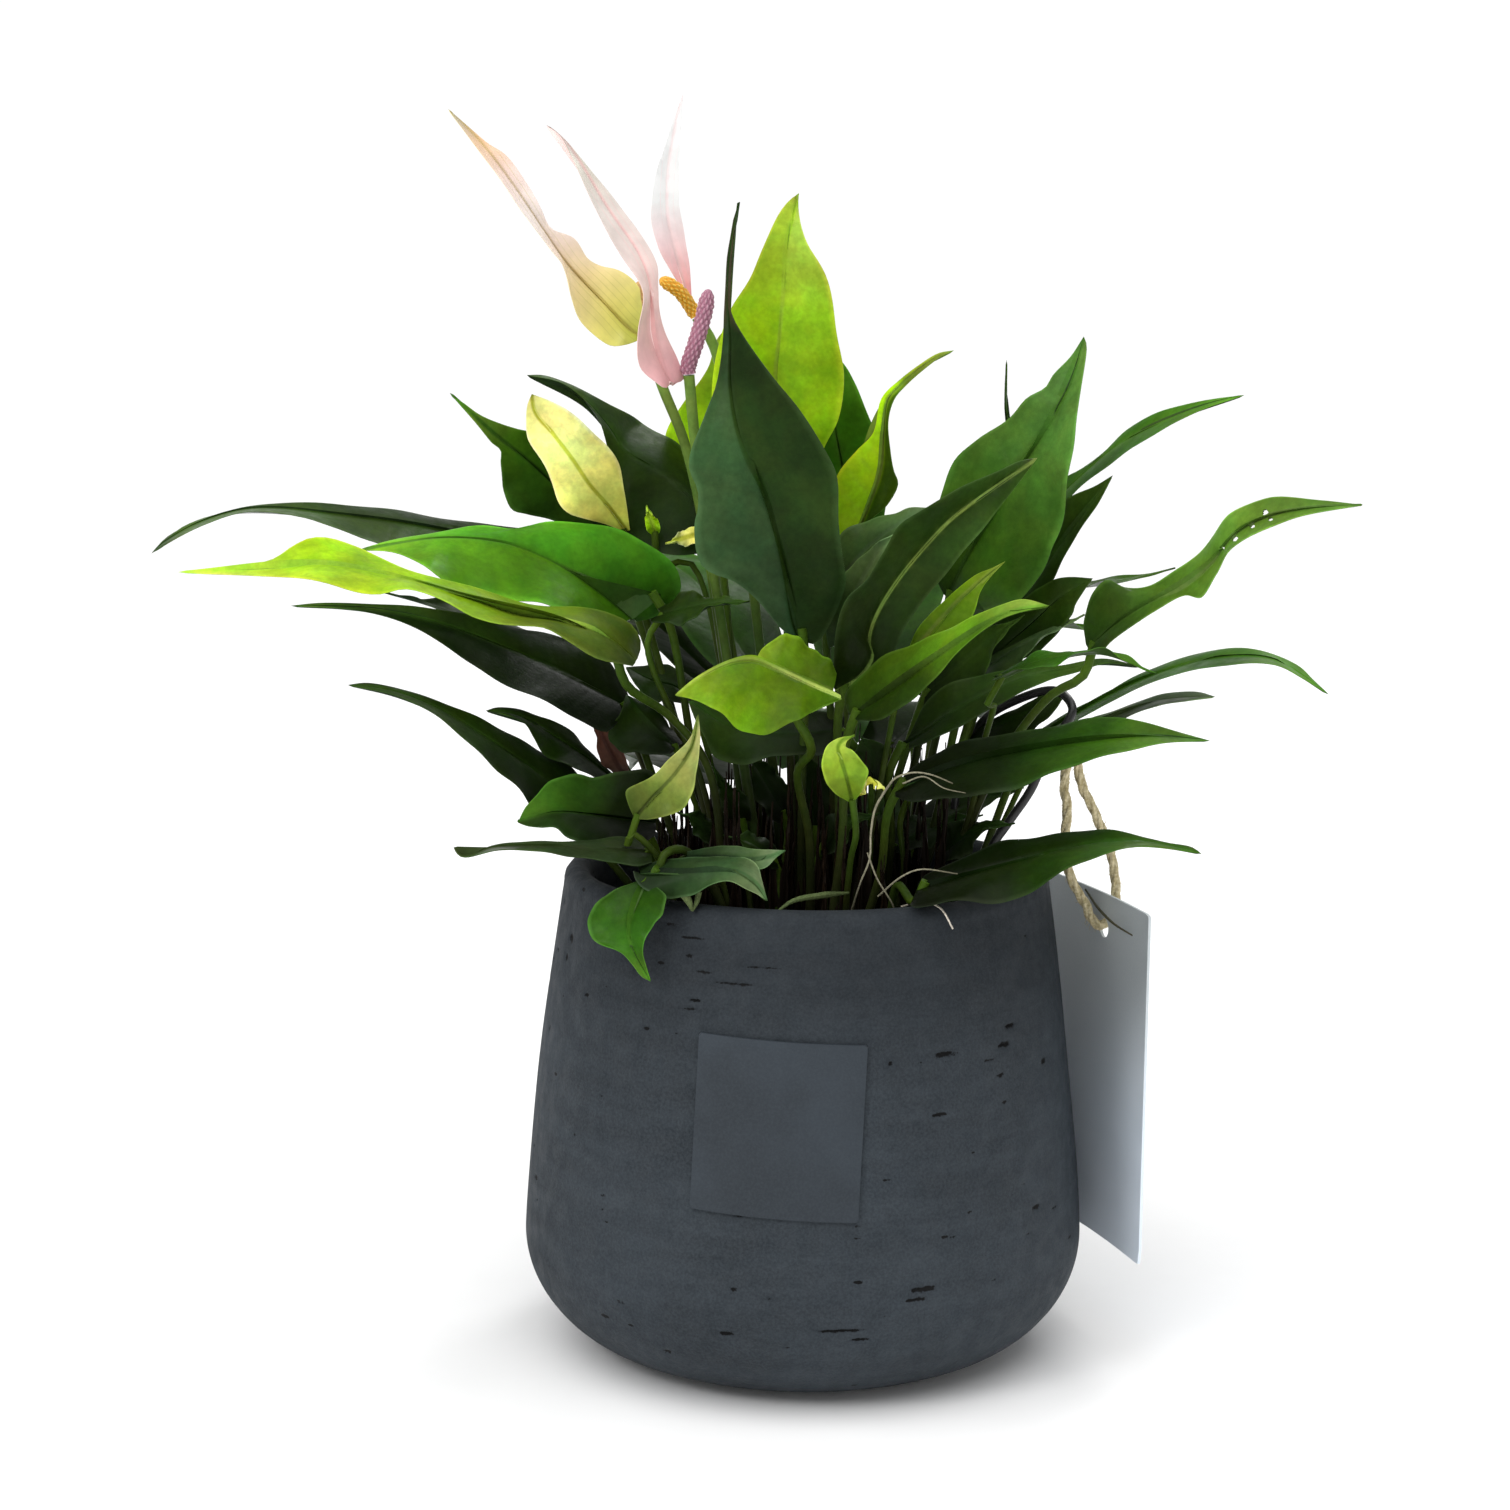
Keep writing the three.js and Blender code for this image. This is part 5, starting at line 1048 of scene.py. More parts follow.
blooms = [
    dict(
        spathe=dict(
            rib=[(-41.8, 250.4, 7.4), (-50.8, 258.4, 3), (-61.3, 269.5, -1), (-70.5, 282, -3),
            (-80, 294.5, -2), (-89.3, 304.6, 2)], half=11, roll=(-35, -40, -45, -50), fold=28, drip=0.5,
            belly=0.3, neck=0.28, hollow=1, wave=0.6, lobe=0.2, rim=0, ripple=0.2, dry=0.4, ribTone="a89448",
            rib2=[(-41.8, 250.4), (-45.5, 252.8), (-50.8, 258.4), (-60.6, 268.3), (-66, 275.8), (-73, 286),
                (-80.5, 295.7), (-89.3, 304.6)],
            leftEdge=[(-42, 250.4), (-45, 249.2), (-48.6, 248.8), (-50.7, 249.6), (-56.4, 254.2), (-59, 260),
                (-61.3, 268.2), (-63.4, 270.8), (-70.3, 279.5), (-77.6, 289.4), (-82.4, 295.6),
                (-89.3, 304.6)],
            rightEdge=[(-41.3, 250.6), (-41.5, 255), (-42, 260), (-42.5, 262.7), (-47.2, 266.8), (-52, 268),
                (-55, 269.5), (-58.5, 274.2), (-64.5, 276.5), (-67, 281), (-69.2, 285), (-75.6, 293.7),
                (-79.8, 296.4), (-84, 300), (-89.3, 304.6)],
        ),
        tones=(("b8c048", "e8e07a", "f0dca0", "eedccc", "eae0da", "ead4ca", "dcb488", "7a8068"), "a0a03c",
               "e4d8a8"),
        spadix=dict(path=[(-41, 258, 13), (-43, 264, 14)], radius=1.6, tones=("c79a62", "e0b878")),
        stalk=[(-24, 190, 0), (-31, 224, 4), (-37, 239, 8), (-40.6, 249.5, 9.6)],
        foot=(-13, 3),
        slots=("spathe_cream", "spadix_straw"),
    ),
    dict(
        spathe=dict(
            rib=[(-35, 240, -9.4), (-38.2, 250, -12), (-40.2, 262, -14), (-47, 275, -13), (-55.5, 288, -10),
            (-65.4, 301, -6)], half=7, roll=(-50, -45, -45, -50), fold=20, drip=0.5, belly=0.3, neck=0.35,
            hollow=1, wave=0.4, lobe=0.1, rim=0, ripple=0.2, dry=0.4,
            rib2=[(-34.8, 239.3), (-37.5, 245), (-39.8, 252), (-40, 262), (-42.5, 270), (-50.5, 281.5),
                (-57.8, 293), (-61.8, 298.2), (-65.4, 301)],
            leftEdge=[(-35, 239.3), (-35.9, 238.5), (-38.3, 240), (-42, 243.5), (-42.7, 252.3),
                (-41.5, 261.7), (-46.7, 270), (-53, 280.7), (-59.3, 293.8), (-62, 298.5), (-65.4, 301)],
            rightEdge=[(-34.5, 239.3), (-31.7, 240.5), (-33, 244.7), (-36, 251), (-37.8, 257), (-38.2, 263),
                (-38.4, 268), (-42.6, 275), (-48.3, 282.4), (-56, 291.7), (-61.4, 298), (-65.4, 301)],
        ),
        tones=(("dea0a4", "eabcba", "ecccc6", "e2d0ca", "d2c8c0", "c4beb0", "8c8a7c"), "e0aaa8", "ecd0cc"),
        spadix=dict(path=[(-28.9, 249, -10), (-26.9, 256, -11), (-25.7, 262.3, -12)], radius=1.9,
                    tones=("a4687e", "cf9fb0")),
        stalk=[(-25, 200, -4), (-28.8, 226, -7), (-30.4, 241.6, -8)],
        foot=(-10, -4),
        slots=("spathe_pink", "spadix_purple"),
    ),
    dict(
        spathe=dict(
            rib=[(-30.4, 257.4, 22.3), (-33.6, 268, 21.5), (-35.8, 280, 21), (-35.2, 296, 22),
            (-32.3, 310, 25)], half=6.5, roll=(-40, -45, -45), fold=15, drip=0.4, neck=0.3, wave=0.4,
            lobe=0.1, rim=0, ripple=0.2, dry=0,
            rib2=[(-30.3, 257.4), (-32, 264), (-34.2, 272), (-36, 280), (-36, 290), (-34.5, 300),
                (-32.3, 310)],
            leftEdge=[(-30.6, 257.4), (-32, 262), (-35, 267), (-38, 272.5), (-39.5, 278.5), (-38.9, 288.5),
                (-36.3, 297.5), (-33.8, 305), (-32.3, 310)],
            rightEdge=[(-30, 257.4), (-30.2, 262), (-30.7, 268.7), (-31.8, 275.5), (-33.2, 282.8),
                (-33.5, 290), (-33, 300), (-32.3, 310)],
        ),
        tones=(("f08c94", "fcd0d2", "ffffff", "ffffff", "ffffff"), "fce0e0", "ffffff"),
        spadix=dict(path=[(-33, 261.8, 16), (-37.6, 264.7, 13)], radius=1.65, tones=("f8a61c", "ffd860")),
        stalk=[(-20, 230, 20), (-24.5, 249, 20), (-28.6, 255.6, 19.6)],
        foot=(-5, 9),
        slots=("spathe_white", "spadix_orange"),
    ),
]
bloomStalkTones = ("161c0c", "2c3c18", "4a6428", "6f8a3c")


def makeSpatheFinish():
    material, tree, surface = newMaterial("spatheWax", Specular_IOR_Level=0.3)
    where = node(tree, "SeparateXYZ", {0: attribute(tree, "place", "Vector")}).outputs
    across = maths(tree, "ABSOLUTE", where[0])
    lines = maths(tree, "ABSOLUTE", maths(tree, "SINE", times(tree, across, 1.6)))
    fade = ramp(tree, where[2], 0.55, 0.95, 0.3, 0)
    veins = times(tree, ramp(tree, lines, 0.0, 0.35, 1, 0), fade)
    share = maths(tree, "MAXIMUM", veins, ramp(tree, across, 0.2, 0.8, 0.5, 0))
    base = blend(tree, share, attribute(tree, "tone"), attribute(tree, "veinTone"))
    colour = shaded(tree, base, mottle(tree, 240, 4, 0.93, 1.05))
    coat(tree, surface, colour, mottle(tree, 500, 2, 0.3, 0.45))
    raised(tree, surface, maths(tree, "ADD", veins, noise(tree, 500, 2)), 0.15, 0.0002)
    return material


def makeSpadixFinish():
    material, tree, surface = newMaterial("spadixKnobs", Specular_IOR_Level=0.35)
    place = node(tree, "TexCoord").outputs["Object"]
    dots = node(tree, "TexVoronoi", {"Vector": place, "Scale": 1500}).outputs[0]
    colour = shaded(tree, attribute(tree, "tone"), ramp(tree, dots, 0.1, 0.5, 1.1, 0.8))
    coat(tree, surface, colour, mottle(tree, 900, 2, 0.45, 0.65))
    raised(tree, surface, dots, 0.25, 0.0002)
    return material


def spadix(path, radius, tones, head, onward, rings=96, sides=72, around=9, along=1.25):
    # radius * end rounding * (0.88 + 0.22 * knob), knob being the product of two crossing waves that wind
    # round the spike both ways, so that the knobs stand in slanting rows
    t = np.linspace(0, 1, rings)
    line, heading, length = smoothLine([head + 0.3 * onward, head + 2 * onward, *seen(path)], t)
    angle = np.linspace(0, 2 * np.pi, sides, endpoint=False)[None, :]
    run = (t * length * np.pi / along)[:, None]
    knob = ((1 + np.cos(around * angle + run)) * (1 + np.cos(around * angle - run)) / 4) ** 0.6
    tipRound = np.sqrt(np.clip(1 - np.clip((t - 0.8) / 0.203, 0, 1) ** 2, 0.0005, 1))[:, None]
    footRound = 0.82 + 0.18 * np.clip(t / 0.06, 0, 1)[:, None]
    grid = sweptRings(line, heading, radius * footRound * tipRound * (0.88 + 0.22 * knob), sides)
    low, high = (paint(code) for code in tones)
    tone = low + (high - low) * knob[..., None]
    faces = [gridFaces(rings, sides, closed=True), capFaces(rings, sides)]
    return grid.reshape(-1, 3), faces, tone.reshape(-1, 3)


def makeBloom(number, bloom, materials):
    foot = np.array([*bloom["foot"], soilTop])
    route = [foot - [0, 0, 12], foot + [0, 0, 4.2], *seen(bloom["stalk"])]
    points, faces, t = tube(route, (1.5, 1.35, 1.25, 1.2, 1.35), sides=14, rings=60)
    tone = np.repeat(painted(bloomStalkTones, t), 14, axis=0)
    places = np.repeat([noVeins], len(points), axis=0)
    newPiece(f"bloomStalk_{number}", points, faces, materials["leaf"],
             [f"flower_stalk_{number}"], dict(tone=tone, veinTone=tone * 1.1), places)
    line, heading, _ = smoothLine(route, [0.995, 1])
    points, faces, tone, veinTone, places = blade(bloom["spathe"], bloom["tones"], rows=72, columns=31)
    newPiece(f"spathePetal_{number}", points, faces, materials["spathe"],
             [f"spathe_{number}"], dict(tone=tone, veinTone=veinTone), places)
    points, faces, tone = spadix(**bloom["spadix"], head=line[1], onward=heading[1])
    newPiece(f"spadixSpike_{number}", points, faces, materials["spadix"],
             [f"spadix_{number}"], dict(tone=tone))


# Pot

pot = dict(
    height=121.0,
    baseRadius=39.0,
    bellyRadius=70.0,
    bellyHeight=29.0,
    rimRadius=60.5,
    shoulderHeight=117.0,
    wall=7.0,
    floor=9.0,
    rows=180,
    columns=460,
    pits=420,
    pitLength=(0.4, 2.8),  # half lengths in mm, lying along the turn of the wall
    pitDepth=(0.12, 0.75),
)
pictureSide = 1510  # points across and down the picture that the clear pits were placed in
# Pits that stand out: (across, down) in that picture, then half length, half height and depth in mm
clearPits = [
    (945, 1055, 3.2, 0.7, 0.8), (1012, 1026, 2.2, 0.6, 0.9), (1006, 1045, 2.6, 0.7, 0.9),
    (1045, 1061, 1.6, 0.6, 0.6), (940, 1115, 2.2, 0.6, 0.6), (990, 1060, 2.2, 0.5, 0.4),
    (1002, 1076, 1.8, 0.5, 0.6), (1005, 1102, 1.2, 0.4, 0.5), (1037, 1208, 1.8, 0.7, 0.7),
    (925, 1290, 4.0, 0.7, 0.7), (916, 1300, 3.0, 0.5, 0.5), (953, 1237, 0.9, 0.5, 0.5),
    (841, 1332, 6.5, 0.4, 0.7), (860, 1340, 2.4, 0.5, 0.6), (726, 1334, 2.2, 0.6, 0.8),
    (733, 1290, 0.9, 0.5, 0.6), (618, 1302, 2.6, 0.35, 0.45), (667, 1352, 1.3, 0.6, 0.6),
    (570, 938, 1.2, 1.3, 0.5), (565, 957, 1.0, 1.0, 0.5), (549, 1028, 0.8, 0.8, 0.5),
    (585, 995, 1.0, 0.5, 0.5), (533, 1146, 0.8, 0.6, 0.5), (672, 925, 2.4, 0.35, 0.4),
    (692, 938, 3.2, 0.4, 0.45), (688, 960, 1.2, 0.5, 0.4), (702, 972, 2.8, 0.35, 0.4),
    (736, 984, 6.0, 0.3, 0.35), (762, 968, 5.0, 0.3, 0.3),
]


def potRadius(z):
    # A quarter ellipse from the base out to the belly, then a slow pull inwards up to the shoulder
    base, belly, rim, widest = (pot[key] for key in ("baseRadius", "bellyRadius", "rimRadius", "bellyHeight"))
    low = np.sqrt(np.clip(1 - (1 - z / widest) ** 2, 0, 1))
    high = np.clip((z - widest) / (pot["shoulderHeight"] - widest), 0, 1.1) ** 1.35
    return np.where(z < widest, base + (belly - base) * low, belly + (rim - belly) * high)


def fromPicture(px, py):
    # The place on the pot's front that a point of the picture shows, by stepping along the sight line.
    # Direction = ahead + right * (px - centre) / f + up * (centre - py) / f, with f in picture points
    turn = np.array(scene.camera.matrix_world)[:3, :3]
    centre = pictureSide / 2
    f = view["lens"] / view["sensor"] * pictureSide
    line = unit(turn @ [(px - centre) / f, (centre - py) / f, -1])
    reach = np.linspace(700, 860, 3201)  # mm from the eye, past the pot's whole front
    places = eye + reach[:, None] * line
    inside = np.hypot(places[:, 0], places[:, 1]) < potRadius(np.clip(places[:, 2], 0, pot["shoulderHeight"]))
    return places[np.argmax(inside)]


def lathe(profile, columns, wobble=None):
    # Profile points (radius, height) carried round the upright axis
    a = np.linspace(0, 2 * np.pi, columns, endpoint=False)[None, :]
    r = profile[:, :1] + (0 if wobble is None else wobble)
    z = np.broadcast_to(profile[:, 1:], (len(profile), columns))
    grid = np.stack([r * np.cos(a), r * np.sin(a), z], -1)
    return grid, [gridFaces(len(profile), columns, closed=True), capFaces(len(profile), columns)]


def makePotFinish():
    material, tree, surface = newMaterial("potCement", Specular_IOR_Level=0.2)
    broad = mottle(tree, 14, 3)
    spots = ramp(tree, noise(tree, 130, 5, 0.65), 0.35, 0.72)
    grit = mottle(tree, 1500, 4, rough=0.7)
    bands = ramp(tree, noise(tree, 60, 4, 0.6, (0.35, 0.35, 3.2)), 0.35, 0.7)
    base = blend(tree, broad, paint("23282d"), paint("2d3339"))
    base = blend(tree, times(tree, bands, 0.35), base, paint("3a4147"))
    base = blend(tree, times(tree, spots, 0.3), base, paint("1b1f23"))
    base = blend(tree, times(tree, grit, 0.2), base, paint("545c62"))
    # Darker towards the rim, where the leaves keep the light off
    place = node(tree, "TexCoord").outputs["Object"]
    rise = node(tree, "SeparateXYZ", {0: place}).outputs[2]
    base = blend(tree, ramp(tree, rise, 0.07, 0.116, 0, 0.45), base, paint("171a1d"))
    # Small pits: cells lying flat, each with a pit of its own size about its middle, most of them too small
    flat = node(tree, "Mapping", {"Vector": place, "Scale": (1, 1, 2.6)}).outputs[0]
    cells = node(tree, "TexVoronoi", {"Vector": flat, "Scale": 150}).outputs
    draw = maths(tree, "POWER", node(tree, "SeparateColor", {0: cells["Color"]}).outputs[0], 6.0)
    ragged = maths(tree, "ADD", cells["Distance"], times(tree, noise(tree, 900, 5, 0.7), 0.34))
    patches = ramp(tree, noise(tree, 16, 2), 0.42, 0.6, 0.2, 1)
    size = maths(tree, "ADD", times(tree, times(tree, draw, patches), 0.34), 0.06)
    pits = ramp(tree, maths(tree, "SUBTRACT", ragged, size), -0.02, 0.02, 1, 0)
    broken = times(tree, maths(tree, "SUBTRACT", noise(tree, 700, 5, 0.7), 0.5), 1.6)
    broken = maths(tree, "ADD", attribute(tree, "hollow", "Fac"), broken)
    pits = maths(tree, "MAXIMUM", pits, ramp(tree, broken, 0.42, 0.6))
    # Painted shade: the pits near black, for the shade inside them
    base = blend(tree, pits, base, paint("060708"))
    coat(tree, surface, base, mottle(tree, 200, 4, 0.68, 0.88))
    height = maths(tree, "ADD", times(tree, noise(tree, 420, 5, 0.65), 1.0),
                   times(tree, noise(tree, 2200, 3, 0.7), 0.35))
    height = maths(tree, "SUBTRACT", height, pits)
    raised(tree, surface, height, 0.45, 0.0006)
    return material


def makePot(material):
    shoulder = pot["shoulderHeight"]
    # The rows stand closer together near the base, where the wall turns under
    share = np.linspace(0, 1, pot["rows"])
    z = shoulder * np.where(share < 0.12, share * 0.8, share) ** 1.05
    z[:14] = pot["bellyHeight"] * (1 - np.cos(np.linspace(0, 0.9, 14)))
    z = np.sort(z)
    wall = np.column_stack([potRadius(z), z])
    rimCorners = [(60.5, 117.6), (60.2, 118.9), (59.3, 120.1), (58.1, 120.8), (57, 121), (55.9, 120.8),
                  (54.9, 120.2), (54.1, 119.1), (53.8, 117.6)]
    down = np.linspace(115, 29, 8)
    inner = np.column_stack([potRadius(down) - pot["wall"], down])
    floor = pot["floor"]
    lowInside = [(potRadius(np.array(16.0)) - 11, 16), (50, floor + 2), (43, floor), (8, floor)]
    profile = np.concatenate([[(30, 0.0)], wall, rimCorners, inner, lowInside])
    a = np.linspace(0, 2 * np.pi, pot["columns"], endpoint=False)
    hollow = np.zeros((len(profile), len(a)))
    shade = np.zeros_like(hollow)
    rows = slice(1, len(wall) + 1)
    r, z = wall[:, :1], wall[:, 1:]
    count = pot["pits"]
    pits = np.column_stack([
        chance.uniform(0, 2 * np.pi, count), chance.uniform(3, 116, count),
        chance.uniform(*pot["pitLength"], count) * chance.uniform(0.3, 1, count),
        chance.uniform(0.25, 0.7, count),
        chance.uniform(*pot["pitDepth"], count) * chance.uniform(0.2, 1, count) ** 2])
    clear = []
    for px, py, length, height, depth in clearPits:
        place = fromPicture(px, py)
        clear.append((math.atan2(place[1], place[0]) % (2 * math.pi), place[2], length, height, depth))
    # hollow = depth * exp(-(distance along the wall / length)^4 - (distance up / height)^2), the deepest wins
    for angle, level, length, height, depth in [*pits, *clear]:
        along = (np.mod(a - angle + np.pi, 2 * np.pi) - np.pi)[None, :] * r
        near = np.exp(-(along / length) ** 4 - ((z - level) / max(height, 0.45)) ** 2)
        hollow[rows] = np.maximum(hollow[rows], depth * near)
        # shade: how dark each pit is painted, for the shade inside it
        shade[rows] = np.maximum(shade[rows], near * min(1, depth / 0.5))
    # Long shallow swells left by the mould
    up = profile[:, 1:]
    swell = 0.12 * np.sin(3 * a[None, :] + 0.06 * up) + 0.08 * np.sin(7 * a[None, :] - 0.11 * up)
    grid, faces = lathe(profile, pot["columns"], swell - 0.2 - hollow)
    return newPiece("potShell", grid.reshape(-1, 3), faces, material, ["pot"],
                    dict(hollow=np.repeat(shade.reshape(-1, 1), 3, axis=1) * 0.95))


# Grow pot and soil

growPot = dict(bottom=9.3, height=92.0, columns=220)
soil = dict(bottom=11.2, radius=48.5, highest=105, rings=70, columns=260, chips=420, chipLength=(1.6, 5.2),
            crumbs=900)


def makePlasticFinish():
    material, tree, surface = newMaterial("growPotPlastic", Specular_IOR_Level=0.4)
    base = blend(tree, mottle(tree, 60, 4), paint("101112"), paint("1b1c1d"))
    base = blend(tree, ramp(tree, noise(tree, 320, 5, 0.7), 0.55, 0.8, 0, 0.5), base, paint("4a3a2a"))
    coat(tree, surface, base, mottle(tree, 300, 3, 0.4, 0.6))
    raised(tree, surface, noise(tree, 900, 3), 0.15, 0.0002)
    return material


def makeGrowPot(material):
    b = growPot["bottom"]
    top = b + growPot["height"]
    profile = np.array([
        (20, b), (39.4, b), (40, b + 0.6), (45.5, b + 42), (51, top - 8.2), (52.2, top - 8),
        (52.5, top - 7.6), (52.65, top - 0.6), (52.2, top), (51.4, top), (51.1, top - 0.5),
        (49.6, top - 9), (44.2, b + 44), (38.6, b + 1.6), (18, b + 1.6)], float)
    grid, faces = lathe(steps(profile, np.linspace(0, 1, 6 * len(profile))), growPot["columns"])
    return newPiece("growPotShell", grid.reshape(-1, 3), faces, material, ["grow_pot"])


def soilHeight(x, y):
    # The crown's profile, and three waves of lumps
    r = np.hypot(x, y)
    crown = np.interp(r, [0, 22.5, 36.5, 48.5], [103.0, 102.2, 100.9, 99.5])
    lumps = 0.7 * np.sin(0.41 * x + 1.3) * np.cos(0.37 * y - 0.6) + 0.35 * np.sin(1.1 * x - 0.7 * y)
    return crown + (lumps + 0.3 * np.cos(2.3 * x + 1.9 * y + 0.5)) * np.clip((48.5 - r) / 5, 0, 1)


def makeSoilFinish():
    material, tree, surface = newMaterial("pottingMix", Specular_IOR_Level=0.25)
    crumbs = mottle(tree, 520, 6, rough=0.7)
    base = blend(tree, crumbs, paint("120d0a"), paint("3a2c20"))
    fleck = ramp(tree, noise(tree, 1400, 3, 0.6), 0.62, 0.74)
    base = blend(tree, times(tree, fleck, 0.5), base, paint("7a6248"))
    base = blend(tree, 1.0, base, attribute(tree, "tone"), "MULTIPLY")
    coat(tree, surface, base, ramp(tree, crumbs, 0, 1, 0.75, 0.95))
    raised(tree, surface, noise(tree, 1200, 5, 0.7), 0.6, 0.0008)
    return material


def turns(count):
    # Random turns, one 3 x 3 matrix each, from unit quaternions
    q = unit(chance.normal(size=(count, 4)))
    w, x, y, z = q.T
    return np.stack([
        np.stack([1 - 2 * (y * y + z * z), 2 * (x * y - z * w), 2 * (x * z + y * w)], -1),
        np.stack([2 * (x * y + z * w), 1 - 2 * (x * x + z * z), 2 * (y * z - x * w)], -1),
        np.stack([2 * (x * z - y * w), 2 * (y * z + x * w), 1 - 2 * (x * x + y * y)], -1)], 1)


def scattered(count, sizes):
    # Chips of eight corners: a block whose corners are each moved at random, turned and set into the soil
    block = np.array([(x, y, z) for z in (-1, 1) for y in (-1, 1) for x in (-1, 1)], float)
    corners = block * chance.uniform(0.55, 1, (count, 8, 3)) * sizes[:, None]
    corners = np.einsum("nij,nkj->nki", turns(count), corners)
    r = np.sqrt(chance.uniform(0, 1, count)) * (soil["radius"] - 3.5)
    a = chance.uniform(0, 2 * np.pi, count)
    x, y = r * np.cos(a), r * np.sin(a)
    spot = np.stack([x, y, soilHeight(x, y) + chance.uniform(-0.3, 0.5, count)], -1)
    corners += spot[:, None]
    quads = np.array([(0, 2, 3, 1), (4, 5, 7, 6), (0, 1, 5, 4), (2, 6, 7, 3), (0, 4, 6, 2), (1, 3, 7, 5)])
    faces = (quads[None] + 8 * np.arange(count)[:, None, None]).reshape(-1, 4)
    return corners.reshape(-1, 3), [faces]


def makeSoil(material):
    rings = np.linspace(1, 0.02, soil["rings"])
    a = np.linspace(0, 2 * np.pi, soil["columns"], endpoint=False)[None, :]
    r = soil["radius"] * rings[:, None]
    x, y = r * np.cos(a), r * np.sin(a)
    top = np.stack([x, y, soilHeight(x, y)], -1)
    side = np.array([(37.5, soil["bottom"]), (38.2, soil["bottom"] + 0.5), (48.3, 94), (48.5, 98)])
    low, _ = lathe(side, soil["columns"])
    grid = np.concatenate([low, top])
    faces = [gridFaces(len(grid), soil["columns"], closed=True), capFaces(len(grid), soil["columns"])]
    chipSizes = chance.uniform(*soil["chipLength"], (soil["chips"], 1)) * [1, 0.6, 0.28]
    crumbSizes = chance.uniform(0.5, 1.3, (soil["crumbs"], 3))
    chips = scattered(soil["chips"], chipSizes)
    crumbs = scattered(soil["crumbs"], crumbSizes)
    points, faces = joined([(grid.reshape(-1, 3), faces), chips, crumbs])
    chipTone = chance.uniform(0.7, 2.4, (soil["chips"], 1)) * [1, 0.92, 0.85]
    crumbTone = chance.uniform(0.6, 2.0, (soil["crumbs"], 1)) * [1, 0.95, 0.9]
    tone = np.concatenate([np.ones((grid.shape[0] * grid.shape[1], 3)), np.repeat(chipTone, 8, axis=0),
                           np.repeat(crumbTone, 8, axis=0)])
    points[:, 2] = np.minimum(points[:, 2], soil["highest"])
    return newPiece("soilCrown", points, faces, material, ["potting_soil"], dict(tone=tone),
                    smooth=30)


# Sticker and swing tag

sticker = dict(width=40.0, height=41.0, middle=(-6.0, 71.0), turn=-2.5, corner=0.5)
tag = dict(nearX=83.4, nearY=-21.0, width=59.0, hole=27.5, heading=110.0, bottom=25.5, height=88.0,
           thickness=0.7, holeRadius=2.5, holeDrop=8.7, corner=1.2, bow=1.2)


def makeStickerFinish():
    material, tree, surface = newMaterial("stickerFilm", Specular_IOR_Level=0.25)
    broad = mottle(tree, 40, 3)
    base = blend(tree, broad, paint("262c32"), paint("2f363d"))
    base = blend(tree, ramp(tree, noise(tree, 1600, 3, 0.7), 0.35, 0.7, 0, 0.25), base, paint("3d444a"))
    coat(tree, surface, base, mottle(tree, 90, 3, 0.42, 0.55))
    raised(tree, surface, noise(tree, 350, 4), 0.18, 0.0003)
    return material


def makeSticker(material):
    # Width at each height shrinks by a quarter circle near the corners, and the film lies round the wall
    count = 64
    corner = sticker["corner"]
    v = np.linspace(-1, 1, count)[:, None] * sticker["height"] / 2
    past = np.clip(np.abs(v) - (sticker["height"] / 2 - corner), 0, None)
    half = sticker["width"] / 2 - corner + np.sqrt(np.clip(corner**2 - past**2, 0, None))
    u = np.linspace(-1, 1, count)[None, :] * half
    turn = math.radians(sticker["turn"])
    x = sticker["middle"][0] + u * math.cos(turn) - v * math.sin(turn)
    z = sticker["middle"][1] + u * math.sin(turn) + v * math.cos(turn)
    sides = []
    for out in (0.75, 0.05):
        r = potRadius(z) + out
        sides.append(np.stack([r * np.sin(x / r), -r * np.cos(x / r), z], -1).reshape(-1, 3))
    return newPiece("stickerSheet", np.concatenate(sides), [sheetFaces(count, count)], material,
                    ["pot_sticker"])


def makeCardFinish():
    material, tree, surface = newMaterial("tagCard", Specular_IOR_Level=0.4)
    broad = mottle(tree, 22, 3)
    rise = node(tree, "SeparateXYZ", {0: node(tree, "TexCoord").outputs["Object"]}).outputs[2]
    base = blend(tree, broad, paint("dce8f4"), paint("e8f2fe"))
    # Painted shade: the card darker towards its top
    base = blend(tree, ramp(tree, rise, 0.05, 0.1), base, paint("c8d0d4"))
    base = blend(tree, ramp(tree, noise(tree, 2200, 3, 0.7), 0.35, 0.7, 0, 0.2), base, paint("e4e8ea"))
    coat(tree, surface, base, mottle(tree, 120, 3, 0.45, 0.6))
    raised(tree, surface, noise(tree, 700, 4), 0.12, 0.0002)
    return material


